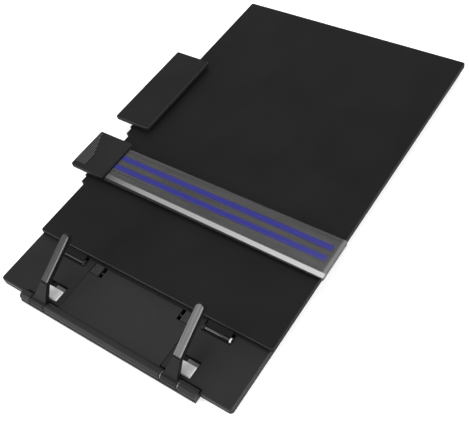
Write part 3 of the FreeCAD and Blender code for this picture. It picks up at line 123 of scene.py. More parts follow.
def add_node(tree, kind, inputs=None, **settings):
    node = tree.nodes.new(kind)
    for name, value in settings.items():
        setattr(node, name, value)
    for name, value in (inputs or {}).items():
        node.inputs[name].default_value = value
    return node


def noise(tree, place, scale, detail=2.0, roughness=0.5, stretch=(1.0, 1.0, 1.0)):
    """Noise on the piece's own coordinates, in metres, so scale is blobs per metre."""
    mapping = add_node(tree, "ShaderNodeMapping", {"Scale": stretch})
    tree.links.new(place, mapping.inputs["Vector"])
    blobs = add_node(tree, "ShaderNodeTexNoise",
                     {"Scale": scale, "Detail": detail, "Roughness": roughness})
    tree.links.new(mapping.outputs["Vector"], blobs.inputs["Vector"])
    return blobs.outputs["Fac"]


def between(tree, factor, first, second, low=0.35, high=0.65):
    """A colour that drifts from first to second as the factor goes from low to high."""
    ramp = add_node(tree, "ShaderNodeValToRGB")
    ramp.color_ramp.elements[0].position = low
    ramp.color_ramp.elements[1].position = high
    ramp.color_ramp.elements[0].color = (*first, 1.0)
    ramp.color_ramp.elements[1].color = (*second, 1.0)
    tree.links.new(factor, ramp.inputs["Fac"])
    return ramp.outputs["Color"]


def remap(tree, factor, low, high):
    """A number from low to high instead of the middle part of 0 to 1."""
    scaled = add_node(tree, "ShaderNodeMapRange",
                      {"From Min": NOISE_LOW, "From Max": NOISE_HIGH,
                       "To Min": low, "To Max": high})
    tree.links.new(factor, scaled.inputs["Value"])
    return scaled.outputs["Result"]


def bump(tree, shader, height, strength, depth):
    node = add_node(tree, "ShaderNodeBump", {"Strength": strength, "Distance": depth})
    tree.links.new(height, node.inputs["Height"])
    tree.links.new(node.outputs["Normal"], shader.inputs["Normal"])


def grey(level):
    return (level, level, level)


# %% [markdown]
# ## Moulded black plastic
# Nearly everything is one black plastic, moulded in tools with different grain. The board is the
# most matte, the base a little glossier, and the grips and arms lie between. A spark-eroded grain
# gives each surface thousands of fine pits, and the sheen drifts slightly from place to place.
# Where hands and paper rub, on the bevelled rims and on the thumb ridges, the grain is polished
# away, and there the colour is also painted paler, as a painted highlight along the edges. Those
# places are picked out by their height, because every rim lies level. The sizes of the slider's
# ridges repeat the construction model's: each ridge is shorter than the one on its left, so the
# field that they cover has a slanting back. Its grooves are painted darker, as painted shade.

# %% Black plastics
FAR = 1.0
BLOTCHES = 22.0
SHEEN_BLOTCHES = 60.0
SHEEN_DRIFT = 0.04
DARKEST_SHARE = 0.9
PALEST_SHARE = 1.12
GRAIN_STRENGTH = 0.35
RUBBED_SHEEN = 0.24
GROOVE_SHADE = 0.004
RIDGE_COUNT = 6
RIDGE_WIDE = 0.8 * MM
RIDGE_PITCH = 1.9 * MM
RIDGE_SHORTER = 4.4 * MM
RIDGE_INSET = 2.6 * MM
RIDGE_FRONT_ROOM = 4.9 * MM
RIDGE_BACK_ROOM = 2.4 * MM
RIDGE_SPAN = (RIDGE_COUNT - 1) * RIDGE_PITCH + RIDGE_WIDE
RIDGE_SLOPE = RIDGE_SHORTER / RIDGE_PITCH


def combine(tree, operation, first, second):
    node = add_node(tree, "ShaderNodeMath", operation=operation)
    tree.links.new(first, node.inputs[0])
    tree.links.new(second, node.inputs[1])
    return node.outputs["Value"]


def inside(tree, value, low, high, soft=0.02 * MM):
    """1 where the value lies between low and high, with a soft edge, and 0 elsewhere."""
    rise = add_node(tree, "ShaderNodeMapRange", {"From Min": low - soft, "From Max": low + soft})
    fall = add_node(tree, "ShaderNodeMapRange", {"From Min": high + soft, "From Max": high - soft})
    tree.links.new(value, rise.inputs["Value"])
    tree.links.new(value, fall.inputs["Value"])
    return combine(tree, "MULTIPLY", rise.outputs["Result"], fall.outputs["Result"])


def paint_over(tree, mask, under, over, kind="RGBA"):
    """The value or colour over where the mask is 1, and under where it is 0."""
    node = add_node(tree, "ShaderNodeMix", data_type=kind)
    tree.links.new(mask, node.inputs["Factor"])
    socket_kind = {"RGBA": "RGBA", "FLOAT": "VALUE"}[kind]
    of_kind = [item for item in node.inputs if item.type == socket_kind]
    for name, source in (("A", under), ("B", over)):
        slot = next(item for item in of_kind if item.name == name)
        if isinstance(source, bpy.types.NodeSocket):
            tree.links.new(source, slot)
        else:
            slot.default_value = source
    return next(item for item in node.outputs if item.type == socket_kind)


def thumb_groove_shade(tree, split):
    """1 over the field of the slider's thumb ridges, whose grooves are then painted dark as painted
    shade.
    """
    low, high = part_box("slider_jaw")
    first, last = low.x + RIDGE_INSET, low.x + RIDGE_INSET + RIDGE_SPAN
    slope = add_node(tree, "ShaderNodeMath", {1: RIDGE_SLOPE}, operation="MULTIPLY")
    tree.links.new(split.outputs["X"], slope.inputs[0])
    slanted = combine(tree, "ADD", split.outputs["Y"], slope.outputs["Value"])
    back = high.y - RIDGE_BACK_ROOM + RIDGE_SLOPE * first
    columns = inside(tree, split.outputs["X"], first, last)
    rows = inside(tree, split.outputs["Y"], low.y + RIDGE_FRONT_ROOM, FAR)
    patch = combine(tree, "MULTIPLY", columns, rows)
    return combine(tree, "MULTIPLY", patch, inside(tree, slanted, -FAR, back))


def black_plastic(name, level, sheen, gloss, grain_size, grain_depth, rubbed_and_highlit=None, highlight_level=0.045,
                  groove_shade=None):
    """Black plastic. Between the two heights given it is polished, and painted paler as a painted
    highlight.
    """
    material, tree, shader, place = new_finish(name)
    drift = noise(tree, place, BLOTCHES, detail=3.0)
    colour = between(tree, drift, grey(level * DARKEST_SHARE), grey(level * PALEST_SHARE))
    rough = remap(tree, noise(tree, place, SHEEN_BLOTCHES), sheen - SHEEN_DRIFT, sheen + SHEEN_DRIFT)
    shader.inputs["Specular IOR Level"].default_value = gloss
    if rubbed_and_highlit:
        split = add_node(tree, "ShaderNodeSeparateXYZ")
        tree.links.new(place, split.inputs["Vector"])
        if groove_shade:
            # Painted shade in the grooves between the thumb ridges.
            colour = paint_over(tree, groove_shade(tree, split), colour, (*grey(GROOVE_SHADE), 1.0))
        mask = inside(tree, split.outputs["Z"], *rubbed_and_highlit)
        # Paler colour on the rim band is a painted highlight; the lower roughness is real polish.
        colour = paint_over(tree, mask, colour, (*grey(highlight_level), 1.0))
        rough = paint_over(tree, mask, rough, RUBBED_SHEEN, "FLOAT")
    tree.links.new(colour, shader.inputs["Base Color"])
    tree.links.new(rough, shader.inputs["Roughness"])
    pits = noise(tree, place, 1.0 / grain_size, detail=1.0)
    bump(tree, shader, pits, GRAIN_STRENGTH, grain_depth)
    return material


# Heights of the rims and ridges on the board, the tray, the two jaws and the latches
BOARD_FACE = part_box("document_board")[1].z
BASE_TOP = 7.9 * MM
JAW_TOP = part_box("clip_jaw")[1].z
RIDGE_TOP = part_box("slider_jaw")[1].z
LATCH_RIDGE_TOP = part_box("flap_latch_left")[1].z
RIM_DEEP = 0.46 * MM
RIM_EDGE = 0.05 * MM
RIDGE_HIGH = 0.45 * MM


def rim(top):
    return top - RIM_DEEP, top - RIM_EDGE


def ridges(top):
    return top - RIDGE_HIGH, top + RIM_EDGE


# Each rim band below is polished and painted paler, as a painted highlight along its edge.
board_black = black_plastic("board_black", level=0.0125, sheen=0.50, gloss=0.05,
                            grain_size=0.7 * MM, grain_depth=0.02 * MM, rubbed_and_highlit=rim(BOARD_FACE))
base_black = black_plastic("base_black", level=0.0195, sheen=0.46, gloss=0.10,
                           grain_size=0.5 * MM, grain_depth=0.02 * MM, rubbed_and_highlit=rim(BASE_TOP))
ledge_black = black_plastic("ledge_black", level=0.0160, sheen=0.42, gloss=0.18,
                            grain_size=0.4 * MM, grain_depth=0.01 * MM)
arm_black = black_plastic("arm_black", level=0.0095, sheen=0.44, gloss=0.14,
                          grain_size=0.4 * MM, grain_depth=0.01 * MM)
grip_black = black_plastic("grip_black", level=0.0140, sheen=0.46, gloss=0.06,
                           grain_size=0.5 * MM, grain_depth=0.02 * MM, rubbed_and_highlit=rim(JAW_TOP))
# The slider's ridge tops are painted paler as a painted highlight, its grooves darker as painted
# shade.
ridge_black = black_plastic("ridge_black", level=0.0180, sheen=0.46, gloss=0.07,
                            grain_size=0.5 * MM, grain_depth=0.02 * MM,
                            rubbed_and_highlit=ridges(RIDGE_TOP), highlight_level=0.10, groove_shade=thumb_groove_shade)
# The latch's rib tops are painted paler, as a painted highlight.
latch_black = black_plastic("latch_black", level=0.0200, sheen=0.46, gloss=0.14,
                            grain_size=0.5 * MM, grain_depth=0.02 * MM,
                            rubbed_and_highlit=ridges(LATCH_RIDGE_TOP), highlight_level=0.06)
print("black plastics:", [m.name for m in (board_black, base_black, ledge_black, arm_black,
                                           grip_black, ridge_black, latch_black)])

# %% [markdown]
# ## Grey plastics of the page arms
# Each finger carries a grey strip with fine streaks along its length, and each arm has a light
# grey tab for the thumb. The streaks are noise that is stretched along the finger: small in x,
# long in y and z. The strip's right-hand rim is painted paler, as a painted highlight. The two
# strips are one plastic, painted darker on the left and paler on the right as painted light, and the
# right tab is painted darker than the left one, as painted shade.

# %% Grey plastics
STRIP_RIM = 0.75 * MM
STRIP_RIM_SOFT = 0.2 * MM
STREAKS = 900.0
ALONG_FINGER = (1.0, 0.02, 0.02)
STREAK_SHEEN = (0.32, 0.46)
STREAK_GLOSS = 0.25
TAB_SHARES = (0.94, 1.05)
TAB_SHEEN = (0.42, 0.52)


def streaked_grey(name, dark, light, rim_from, rim_highlight):
    """Streaked grey plastic whose right-hand rim, from rim_from onwards, is painted paler as a
    painted highlight.
    """
    material, tree, shader, place = new_finish(name)
    streaks = noise(tree, place, STREAKS, detail=3.0, roughness=0.6, stretch=ALONG_FINGER)
    split = add_node(tree, "ShaderNodeSeparateXYZ")
    tree.links.new(place, split.inputs["Vector"])
    mask = inside(tree, split.outputs["X"], rim_from, FAR, STRIP_RIM_SOFT)
    colour = between(tree, streaks, grey(dark), grey(light), NOISE_LOW, NOISE_HIGH)
    # The rim's paler colour is a painted highlight.
    colour = paint_over(tree, mask, colour, (*grey(rim_highlight), 1.0))
    tree.links.new(colour, shader.inputs["Base Color"])
    tree.links.new(remap(tree, streaks, *STREAK_SHEEN), shader.inputs["Roughness"])
    shader.inputs["Specular IOR Level"].default_value = STREAK_GLOSS
    bump(tree, shader, streaks, strength=0.4, depth=0.03 * MM)
    return material


def tab_plastic(name, level):
    material, tree, shader, place = new_finish(name)
    drift = noise(tree, place, scale=180.0)
    darkest, palest = [grey(level * share) for share in TAB_SHARES]
    tree.links.new(between(tree, drift, darkest, palest), shader.inputs["Base Color"])
    rough = remap(tree, noise(tree, place, scale=900.0), *TAB_SHEEN)
    tree.links.new(rough, shader.inputs["Roughness"])
    grain = noise(tree, place, scale=2600.0, detail=1.0)
    bump(tree, shader, grain, strength=0.3, depth=0.01 * MM)
    return material


def strip_rim(side):
    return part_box(f"finger_strip_{side}")[1].x - STRIP_RIM


# One plastic: the left strip is painted darker as painted shade, the right one paler as painted
# light.
strip_left = streaked_grey("strip_left", dark=0.03, light=0.070, rim_from=strip_rim("left"),
                           rim_highlight=0.22)
strip_right = streaked_grey("strip_right", dark=0.10, light=0.24, rim_from=strip_rim("right"),
                            rim_highlight=0.28)
tail_grey = tab_plastic("tail_grey", level=0.13)
# One plastic for both tabs; the right tab is painted darker, as painted shade.
tab_left = tab_plastic("tab_left", level=0.72)
tab_right = tab_plastic("tab_right", level=0.60)
print("grey plastics:", strip_left.name, strip_right.name, tail_grey.name, tab_left.name,
      tab_right.name)

# %% [markdown]
# ## The clear guide bar with its two blue lines
# The guide is smoky clear plastic. Over the black board it looks dark grey, because its faces
# and its fine scratches send a little light back. Its front bevel was left rough by the saw; its
# pale colour is a painted highlight, whitening from the slider's painted shadow on the left to the
# open right end, with a thin paler painted highlight along its back. Its lowest edge and a strip
# beside the slider are painted near black, as painted shadow. Two broad blue lines are printed on
# the flat. All of this belongs to one sheet, so it is painted in one material, by distance from the
# guide's front edge and from its right end. Each step of the bevel's painted light is a pair: how
# far along the guide it lies, as a share from left to right, and how light it is.

# %% Guide plastic
guide_low, guide_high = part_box("guide_bar")
GUIDE_FRONT = guide_low.y
BEVEL_FRONT = GUIDE_FRONT + 0.9 * MM
BEVEL_BACK = GUIDE_FRONT + 4.8 * MM
BEVEL_DRIFT = -1.7 * MM
BEVEL_SKEW = BEVEL_DRIFT / (guide_high.x - guide_low.x)
BEVEL_HIGHLIGHT_WIDE = 0.5 * MM
LINE_LEFT = guide_low.x + 3.0 * MM
LINE_RIGHT = guide_high.x - 6.4 * MM
LINE_WIDE = 5.0 * MM
LINE_MIDDLES = (GUIDE_FRONT + 17.3 * MM, GUIDE_FRONT + 28.0 * MM)
LIP_WIDE = 3.0 * MM
END_FACE = 0.1 * MM
LINE_SOFT = 0.12 * MM
LINE_END_SOFT = 0.5 * MM
BEVEL_SOFT = 0.05 * MM
LIP_SOFT = 1.2 * MM
END_SOFT = 0.02 * MM
SLIDER_SHADOW_SOFT = 0.3 * MM
BEVEL_PAINTED_LIGHT = ((0.02, 0.07), (0.08, 0.16), (0.21, 0.32), (0.75, 0.54), (1.00, 0.62))
SLIDER_SHADOW_BEFORE = 0.3 * MM
SLIDER_SHADOW_AFTER = 1.1 * MM
SLIDER_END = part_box("slider_jaw")[1].x
SHADED = (0.005, 0.005, 0.005, 1.0)
LINE_BLUE = (0.020, 0.020, 0.230, 1.0)
LIP_GREY = (0.24, 0.24, 0.24, 1.0)
BEVEL_HIGHLIGHT_GREY = (0.26, 0.26, 0.26, 1.0)
END_BLACK = (0.02, 0.02, 0.02, 1.0)
SHEET_SHADES = (0.070, 0.115)
SHEET_SHEEN = (0.22, 0.36)
SHEET_COVER = 0.55
LINE_COVER = 0.95
LIP_COVER = 0.75
BEVEL_COVER = 0.92
BEVEL_SHEEN = 0.34
ALONG_GUIDE = (0.03, 1.0, 1.0)
ACRYLIC_IOR = 1.49
GUIDE_GLOSS = 0.3


def painted_bevel_light(tree, along):
    """Painted light on the rough bevel: a painted highlight that whitens from the slider's painted
    shadow on the left to the open right end.
    """
    part_way = add_node(tree, "ShaderNodeMapRange",
                        {"From Min": guide_low.x, "From Max": guide_high.x})
    tree.links.new(along, part_way.inputs["Value"])
    ramp = add_node(tree, "ShaderNodeValToRGB")
    stops = ramp.color_ramp.elements
    while len(stops) < len(BEVEL_PAINTED_LIGHT):
        stops.new(0.5)
    for stop, (position, level) in zip(stops, BEVEL_PAINTED_LIGHT):
        stop.position = position
        stop.color = (*grey(level), 1.0)
    tree.links.new(part_way.outputs["Result"], ramp.inputs["Fac"])
    return ramp.outputs["Color"]


def guide_plastic():
    material, tree, shader, place = new_finish("guide_clear")
    split = add_node(tree, "ShaderNodeSeparateXYZ")
    tree.links.new(place, split.inputs["Vector"])
    across, along = split.outputs["Y"], split.outputs["X"]
    back_line, front_line = [
        inside(tree, across, middle - LINE_WIDE / 2, middle + LINE_WIDE / 2, LINE_SOFT)
        for middle in LINE_MIDDLES
    ]
    lines = combine(tree, "MULTIPLY", combine(tree, "ADD", back_line, front_line),
                    inside(tree, along, LINE_LEFT, LINE_RIGHT, LINE_END_SOFT))
    short_of_end = add_node(tree, "ShaderNodeMath", {0: guide_high.x}, operation="SUBTRACT")
    tree.links.new(along, short_of_end.inputs[1])
    skew = add_node(tree, "ShaderNodeMath", {1: BEVEL_SKEW}, operation="MULTIPLY")
    tree.links.new(short_of_end.outputs["Value"], skew.inputs[0])
    skewed = combine(tree, "ADD", across, skew.outputs["Value"])
    bevel = inside(tree, skewed, BEVEL_FRONT, BEVEL_BACK, BEVEL_SOFT)
    bevel_highlight = inside(tree, skewed, BEVEL_BACK, BEVEL_BACK + BEVEL_HIGHLIGHT_WIDE, BEVEL_SOFT)
    lip = inside(tree, along, guide_high.x - LIP_WIDE, FAR, LIP_SOFT)
    end_face = inside(tree, along, guide_high.x - END_FACE, FAR, END_SOFT)
    scratches = noise(tree, place, scale=500.0, detail=3.0, stretch=ALONG_GUIDE)
    darkest, palest = [grey(level) for level in SHEET_SHADES]
    colour = between(tree, scratches, darkest, palest)
    colour = paint_over(tree, lines, colour, LINE_BLUE)
    colour = paint_over(tree, lip, colour, LIP_GREY)
    # A thin painted highlight along the back of the bevel.
    colour = paint_over(tree, bevel_highlight, colour, BEVEL_HIGHLIGHT_GREY)
    # The bevel's pale colour is a painted highlight, with painted light brightening to the right.
    colour = paint_over(tree, bevel, colour, painted_bevel_light(tree, along))
    colour = paint_over(tree, end_face, colour, END_BLACK)
    # Painted shadow under the guide's front edge and beside the slider's right edge.
    front_edge_shadow = inside(tree, skewed, -FAR, BEVEL_FRONT, BEVEL_SOFT)
    slider_shadow = inside(tree, along, SLIDER_END - SLIDER_SHADOW_BEFORE, SLIDER_END + SLIDER_SHADOW_AFTER, SLIDER_SHADOW_SOFT)
    shaded = combine(tree, "MAXIMUM", front_edge_shadow, slider_shadow)
    colour = paint_over(tree, shaded, colour, SHADED)
    tree.links.new(colour, shader.inputs["Base Color"])
    cover = paint_over(tree, lines, SHEET_COVER, LINE_COVER, "FLOAT")
    cover = paint_over(tree, lip, cover, LIP_COVER, "FLOAT")
    solid = combine(tree, "MAXIMUM", bevel, shaded)
    cover = paint_over(tree, solid, cover, BEVEL_COVER, "FLOAT")
    tree.links.new(cover, shader.inputs["Alpha"])
    rough = paint_over(tree, bevel, remap(tree, scratches, *SHEET_SHEEN), BEVEL_SHEEN, "FLOAT")
    tree.links.new(rough, shader.inputs["Roughness"])
    shader.inputs["IOR"].default_value = ACRYLIC_IOR
    shader.inputs["Specular IOR Level"].default_value = GUIDE_GLOSS
    bump(tree, shader, scratches, strength=0.15, depth=0.01 * MM)
    return material


guide_clear = guide_plastic()
from_front = [round((middle - GUIDE_FRONT) / MM, 1) for middle in LINE_MIDDLES]
print("lines at", from_front, "mm from the guide's front")

# %% [markdown]
# ## Rubber and steel
# The feet, the prop's sleeve and the jaw pads are soft black rubber. The axle, the screws, most
# pins and the springs are bright drawn steel, with the fine lines that the drawing left. The two
# hinge pins and the washers beside the hubs are blackened, so only their round sides catch a line
# of light. The left ones are painted darker than the right ones, as painted shade, and the right
# washers are a paler copy, as painted light.

# %% Rubber and steel
RUBBER_SHADES = (0.012, 0.020)
RUBBER_SHEEN = (0.72, 0.86)
RUBBER_GLOSS = 0.3
STEEL_SHEEN = (0.22, 0.38)
STEEL_DARKEST_SHARE = 0.85
ALONG_PIN = (0.05, 1.0, 1.0)
ALONG_COIL = (1.0, 0.3, 1.0)


def soft_rubber():
    material, tree, shader, place = new_finish("soft_rubber")
    drift = noise(tree, place, scale=300.0)
    darkest, palest = [grey(level) for level in RUBBER_SHADES]
    tree.links.new(between(tree, drift, darkest, palest), shader.inputs["Base Color"])
    rough = remap(tree, noise(tree, place, scale=900.0), *RUBBER_SHEEN)
    tree.links.new(rough, shader.inputs["Roughness"])
    shader.inputs["Specular IOR Level"].default_value = RUBBER_GLOSS
    grain = noise(tree, place, scale=3000.0, detail=1.0)
    bump(tree, shader, grain, strength=0.4, depth=0.02 * MM)
    return material


def drawn_steel(name, level, stretch):
    material, tree, shader, place = new_finish(name)
    lines = noise(tree, place, scale=3000.0, detail=2.0, stretch=stretch)
    colour = between(tree, lines, grey(level * STEEL_DARKEST_SHARE), grey(level))
    tree.links.new(colour, shader.inputs["Base Color"])
    tree.links.new(remap(tree, lines, *STEEL_SHEEN), shader.inputs["Roughness"])
    shader.inputs["Metallic"].default_value = 1.0
    bump(tree, shader, lines, strength=0.2, depth=0.005 * MM)
    return material


rubber = soft_rubber()
pin_steel = drawn_steel("pin_steel", level=0.60, stretch=ALONG_PIN)
wire_steel = drawn_steel("wire_steel", level=0.50, stretch=ALONG_COIL)
black_steel = drawn_steel("black_steel", level=0.07, stretch=ALONG_PIN)
shaded_black_steel = drawn_steel("shaded_black_steel", level=0.035, stretch=ALONG_PIN)
lit_ring_steel = drawn_steel("lit_ring_steel", level=0.16, stretch=ALONG_PIN)
print("metals and rubber:", rubber.name, pin_steel.name, wire_steel.name, black_steel.name,
      shaded_black_steel.name, lit_ring_steel.name)

# %% [markdown]
# ## Give every part its finish
# The nodes from the construction model keep their shape. Each one gets its material here.

# %% Finishes by part
FINISHES = {
    board_black: ["document_board"],
    base_black: ["base_tray", "base_cover", "prop_leg"],
    ledge_black: ["ledge_rail", "ledge_flap"],
    arm_black: ["page_arm_left", "page_arm_right"],
    latch_black: ["flap_latch_left", "flap_latch_right"],
    grip_black: ["slider_carriage", "clip_carriage", "clip_jaw"],
    ridge_black: ["slider_jaw"],
    strip_left: ["finger_strip_left"],
    strip_right: ["finger_strip_right"],
    tab_left: ["thumb_tab_left"],
    tab_right: ["thumb_tab_right"],
    guide_clear: ["guide_bar"],
    rubber: ["rubber_feet", "prop_foot_pad", "slider_pad", "clip_pad"],
    pin_steel: ["ledge_axle", "prop_pins", "slider_pin", "clip_pin", "cover_screws"],
    # The left hinge pin takes the darker copy of the blackened steel, as painted shade.
    shaded_black_steel: ["hinge_pin_left"],
    black_steel: ["hinge_pin_right"],
    wire_steel: ["arm_spring_left", "arm_spring_right", "latch_spring_left",
                 "latch_spring_right", "slider_spring", "clip_springs"],
}
for material, names in FINISHES.items():
    for name in names:
        nodes[name].data.materials.clear()
        nodes[name].data.materials.append(material)
dressed = {name for names in FINISHES.values() for name in names}
print("parts with a finish:", len(dressed), "without:", sorted(set(nodes) - dressed))

# %% [markdown]
# ## Smooth rounds and crisp edges
# The shapes come in as loose triangles, so every round would show its facets. Welding the
# triangles on the fly joins them, splitting keeps each edge sharper than 30 degrees crisp, and
# smooth shading then blends only the rounds. The corners of the shapes themselves stay put.

# %% Smooth rounds
WELD_REACH = 0.001 * MM
CRISP_ANGLE = math.radians(30)


def smooth_rounds(part):
    bpy.ops.object.select_all(action="DESELECT")
    part.select_set(True)
    bpy.context.view_layer.objects.active = part
    bpy.ops.object.shade_smooth()
    weld = part.modifiers.new("weld", "WELD")
    weld.merge_threshold = WELD_REACH
    split = part.modifiers.new("crisp", "EDGE_SPLIT")
    split.split_angle = CRISP_ANGLE


for part in nodes.values():
    smooth_rounds(part)
print("smoothed parts:", len(nodes))

# %% [markdown]
# ## Tails of the thumb tabs
# Behind each light tab the photograph shows a darker band. It is made as a lower step of the tab: a
# flat block that starts under the tab's back edge and reaches on behind it. All its edges are
# rounded a little.

# %% Tab tails
TAIL_LONG = 3.4 * MM
TAIL_LAP = 0.6 * MM
TAIL_WIDE = 10.0 * MM
TAIL_SIDE = 0.5 * MM
TAIL_STEP = 2.0 * MM
TAIL_THICK = 1.0 * MM
TAIL_ROUND = 0.25 * MM


def new_block(name, low, high):
    """A cube pulled out to the box from low to high, with its origin left at the world's."""
    bpy.ops.object.select_all(action="DESELECT")
    bpy.ops.mesh.primitive_cube_add(size=1.0)
    piece = bpy.context.object
    piece.name = name
    piece.data.name = name
    piece.scale = [b - a for a, b in zip(low, high)]
    piece.location = [(a + b) / 2 for a, b in zip(low, high)]
    bpy.ops.object.transform_apply(location=True, rotation=True, scale=True)
    return piece


def tab_tail(side):
    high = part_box(f"thumb_tab_{side}")[1]
    right = high.x - TAIL_SIDE
    top = high.z - TAIL_STEP
    front = high.y - TAIL_LAP
    back = high.y + TAIL_LONG
    tail = new_block(f"tab_tail_{side}", (right - TAIL_WIDE, front, top - TAIL_THICK),
                     (right, back, top))
    bpy.ops.object.mode_set(mode="EDIT")
    bpy.ops.mesh.select_all(action="SELECT")
    bpy.ops.mesh.bevel(offset=TAIL_ROUND, segments=2)
    bpy.ops.object.mode_set(mode="OBJECT")
    tail.data.materials.append(tail_grey)
    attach(tail, f"arm_{side}")
    return tail


tails = [tab_tail(side) for side in ("left", "right")]
print("tails:", [tail.name for tail in tails])

# %% [markdown]
# ## Steel rings on the ledge and the hinge
# Bright glints show at both ends of the right hub and at the outer end of the right hinge. They
# are read as thin steel rings: a washer in each gap beside a hub, and a cap ring round the last
# hinge lug. The left hub has its washers too, painted darker than the right ones as painted shade.
# A ring starts as a disc, which is inset, emptied and drawn out to its width.

# %% Steel rings
RING_SIDES = 48
HUB_GAP = 1.0 * MM
WASHER_WIDE = 0.6 * MM
WASHER_RADIUS = 3.75 * MM
WASHER_BORE = 1.6 * MM
CAP_WIDE = 1.5 * MM
CAP_RADIUS = 2.78 * MM
CAP_BORE = 2.62 * MM
CAP_INSET = 0.1 * MM
RING_BREAK = 0.04 * MM


def steel_ring(name, finish, left, centre_y, centre_z, width, radius, bore):
    bpy.ops.object.select_all(action="DESELECT")
    bpy.ops.mesh.primitive_circle_add(vertices=RING_SIDES, radius=radius, fill_type="NGON",
                                      location=(left, centre_y, centre_z),
                                      rotation=(0.0, math.radians(90), 0.0))
    ring = bpy.context.object
    ring.name = name
    ring.data.name = name
    bpy.ops.object.transform_apply(location=True, rotation=True, scale=True)
    bpy.ops.object.mode_set(mode="EDIT")
    bpy.ops.mesh.select_mode(type="FACE")
    bpy.ops.mesh.select_all(action="SELECT")
    bpy.ops.mesh.inset(thickness=radius - bore)
    bpy.ops.mesh.delete(type="FACE")
    bpy.ops.mesh.select_all(action="SELECT")
    bpy.ops.mesh.extrude_region_move(TRANSFORM_OT_translate={"value": (width, 0.0, 0.0)})
    bpy.ops.mesh.select_all(action="SELECT")
    bpy.ops.mesh.normals_make_consistent(inside=False)
    bpy.ops.object.mode_set(mode="OBJECT")
    edge = ring.modifiers.new("edge_break", "BEVEL")
    edge.width = RING_BREAK
    edge.segments = 1
    bpy.ops.object.modifier_apply(modifier=edge.name)
    bpy.ops.object.shade_smooth_by_angle(angle=CRISP_ANGLE)
    ring.data.materials.append(finish)
    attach(ring, "base")
    return ring


axle_low, axle_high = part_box("ledge_axle")
axle_y, axle_z = (axle_low.y + axle_high.y) / 2, (axle_low.z + axle_high.z) / 2
rings = []
# The left washers take the darker copy of the steel as painted shade, the right ones a paler lit
# copy.
for side, finish in (("left", shaded_black_steel), ("right", lit_ring_steel)):
    hub_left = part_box(f"page_arm_{side}")[0].x
    hub_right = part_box(f"page_arm_{side}")[1].x
    spare = (HUB_GAP - WASHER_WIDE) / 2
    for end, left in (("a", hub_left - HUB_GAP + spare), ("b", hub_right + spare)):
        rings.append(steel_ring(f"washer_{side}_{end}", finish, left, axle_y, axle_z,
                                WASHER_WIDE, WASHER_RADIUS, WASHER_BORE))
pin_low, pin_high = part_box("hinge_pin_right")
rings.append(steel_ring("hinge_cap_right", pin_steel, pin_high.x - CAP_INSET - CAP_WIDE,
                        (pin_low.y + pin_high.y) / 2, (pin_low.z + pin_high.z) / 2,
                        CAP_WIDE, CAP_RADIUS, CAP_BORE))
print("rings:", [ring.name for ring in rings])

# %% [markdown]
# ## Coiled latch springs
# A small push spring shows in the slot beside each latch. The construction model has a plain rod
# there. Here it is wound: a screw modifier turns a round wire about the spring's long axis.

# %% Latch springs
WIRE = 0.3 * MM
TURNS = 9
WIRE_SIDES = 8
TURN_STEPS = 20


def coil_spring(side):
    low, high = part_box(f"latch_spring_{side}")
    long = high.x - low.x
    middle_y, middle_z = (low.y + high.y) / 2, (low.z + high.z) / 2
    coil_radius = (high.z - low.z - WIRE) / 2
    bpy.ops.object.select_all(action="DESELECT")
    bpy.ops.mesh.primitive_circle_add(vertices=WIRE_SIDES, radius=WIRE / 2, fill_type="NOTHING",
                                      location=(0.0, 0.0, coil_radius))
    spring = bpy.context.object
    spring.name = f"latch_coil_{side}"
    spring.data.name = spring.name
    spring.rotation_euler = (math.radians(90), 0.0, 0.0)
    bpy.ops.object.transform_apply(location=True, rotation=True, scale=True)
    screw = spring.modifiers.new("wind", "SCREW")
    screw.axis = "X"
    screw.angle = math.tau * TURNS
    screw.screw_offset = long - WIRE
    screw.steps = TURN_STEPS * TURNS
    screw.render_steps = TURN_STEPS * TURNS
    bpy.ops.object.modifier_apply(modifier=screw.name)
    bpy.ops.object.mode_set(mode="EDIT")
    bpy.ops.mesh.select_all(action="SELECT")
    bpy.ops.mesh.fill_holes(sides=0)
    bpy.ops.mesh.normals_make_consistent(inside=False)
    bpy.ops.object.mode_set(mode="OBJECT")
    spring.location = (low.x + WIRE / 2, middle_y, middle_z)
    bpy.ops.object.transform_apply(location=True, rotation=True, scale=True)
    bpy.ops.object.shade_smooth_by_angle(angle=CRISP_ANGLE)
    spring.data.materials.append(wire_steel)
    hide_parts(f"latch_spring_{side}")
    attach(spring, "flap")
    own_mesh(spring)
    return spring


springs = [coil_spring("left"), coil_spring("right")]
print("springs:", [spring.name for spring in springs])

# %% [markdown]
# ## Floor
# The photograph has a white sweep with almost no shadow. A wide pale floor catches what little
# there is. Where the floor shows, straight on, in a shiny surface or through a clear one, it is near
# white and glows a little, which lightens the shadow further. It sends less light back to the stand
# than it shows, as the undersides are black in the photograph.

# %% Floor
FLOOR_SIZE = 8.0
FLOOR_BLOTCHES = 3.0
FLOOR_SHADES = (0.93, 0.95)
FLOOR_SHEEN = 0.9
FLOOR_GLOSS = 0.1
FLOOR_GLOW = 0.55
FLOOR_BOUNCE = 0.40


def shown_rays(tree):
    """1 for straight rays, rays off a shiny surface and rays through a clear one, 0 for others."""
    rays = add_node(tree, "ShaderNodeLightPath")
    straight_or_glossy = combine(tree, "MAXIMUM", rays.outputs["Is Camera Ray"],
                                 rays.outputs["Is Glossy Ray"])
    return combine(tree, "MAXIMUM", straight_or_glossy, rays.outputs["Is Transmission Ray"])


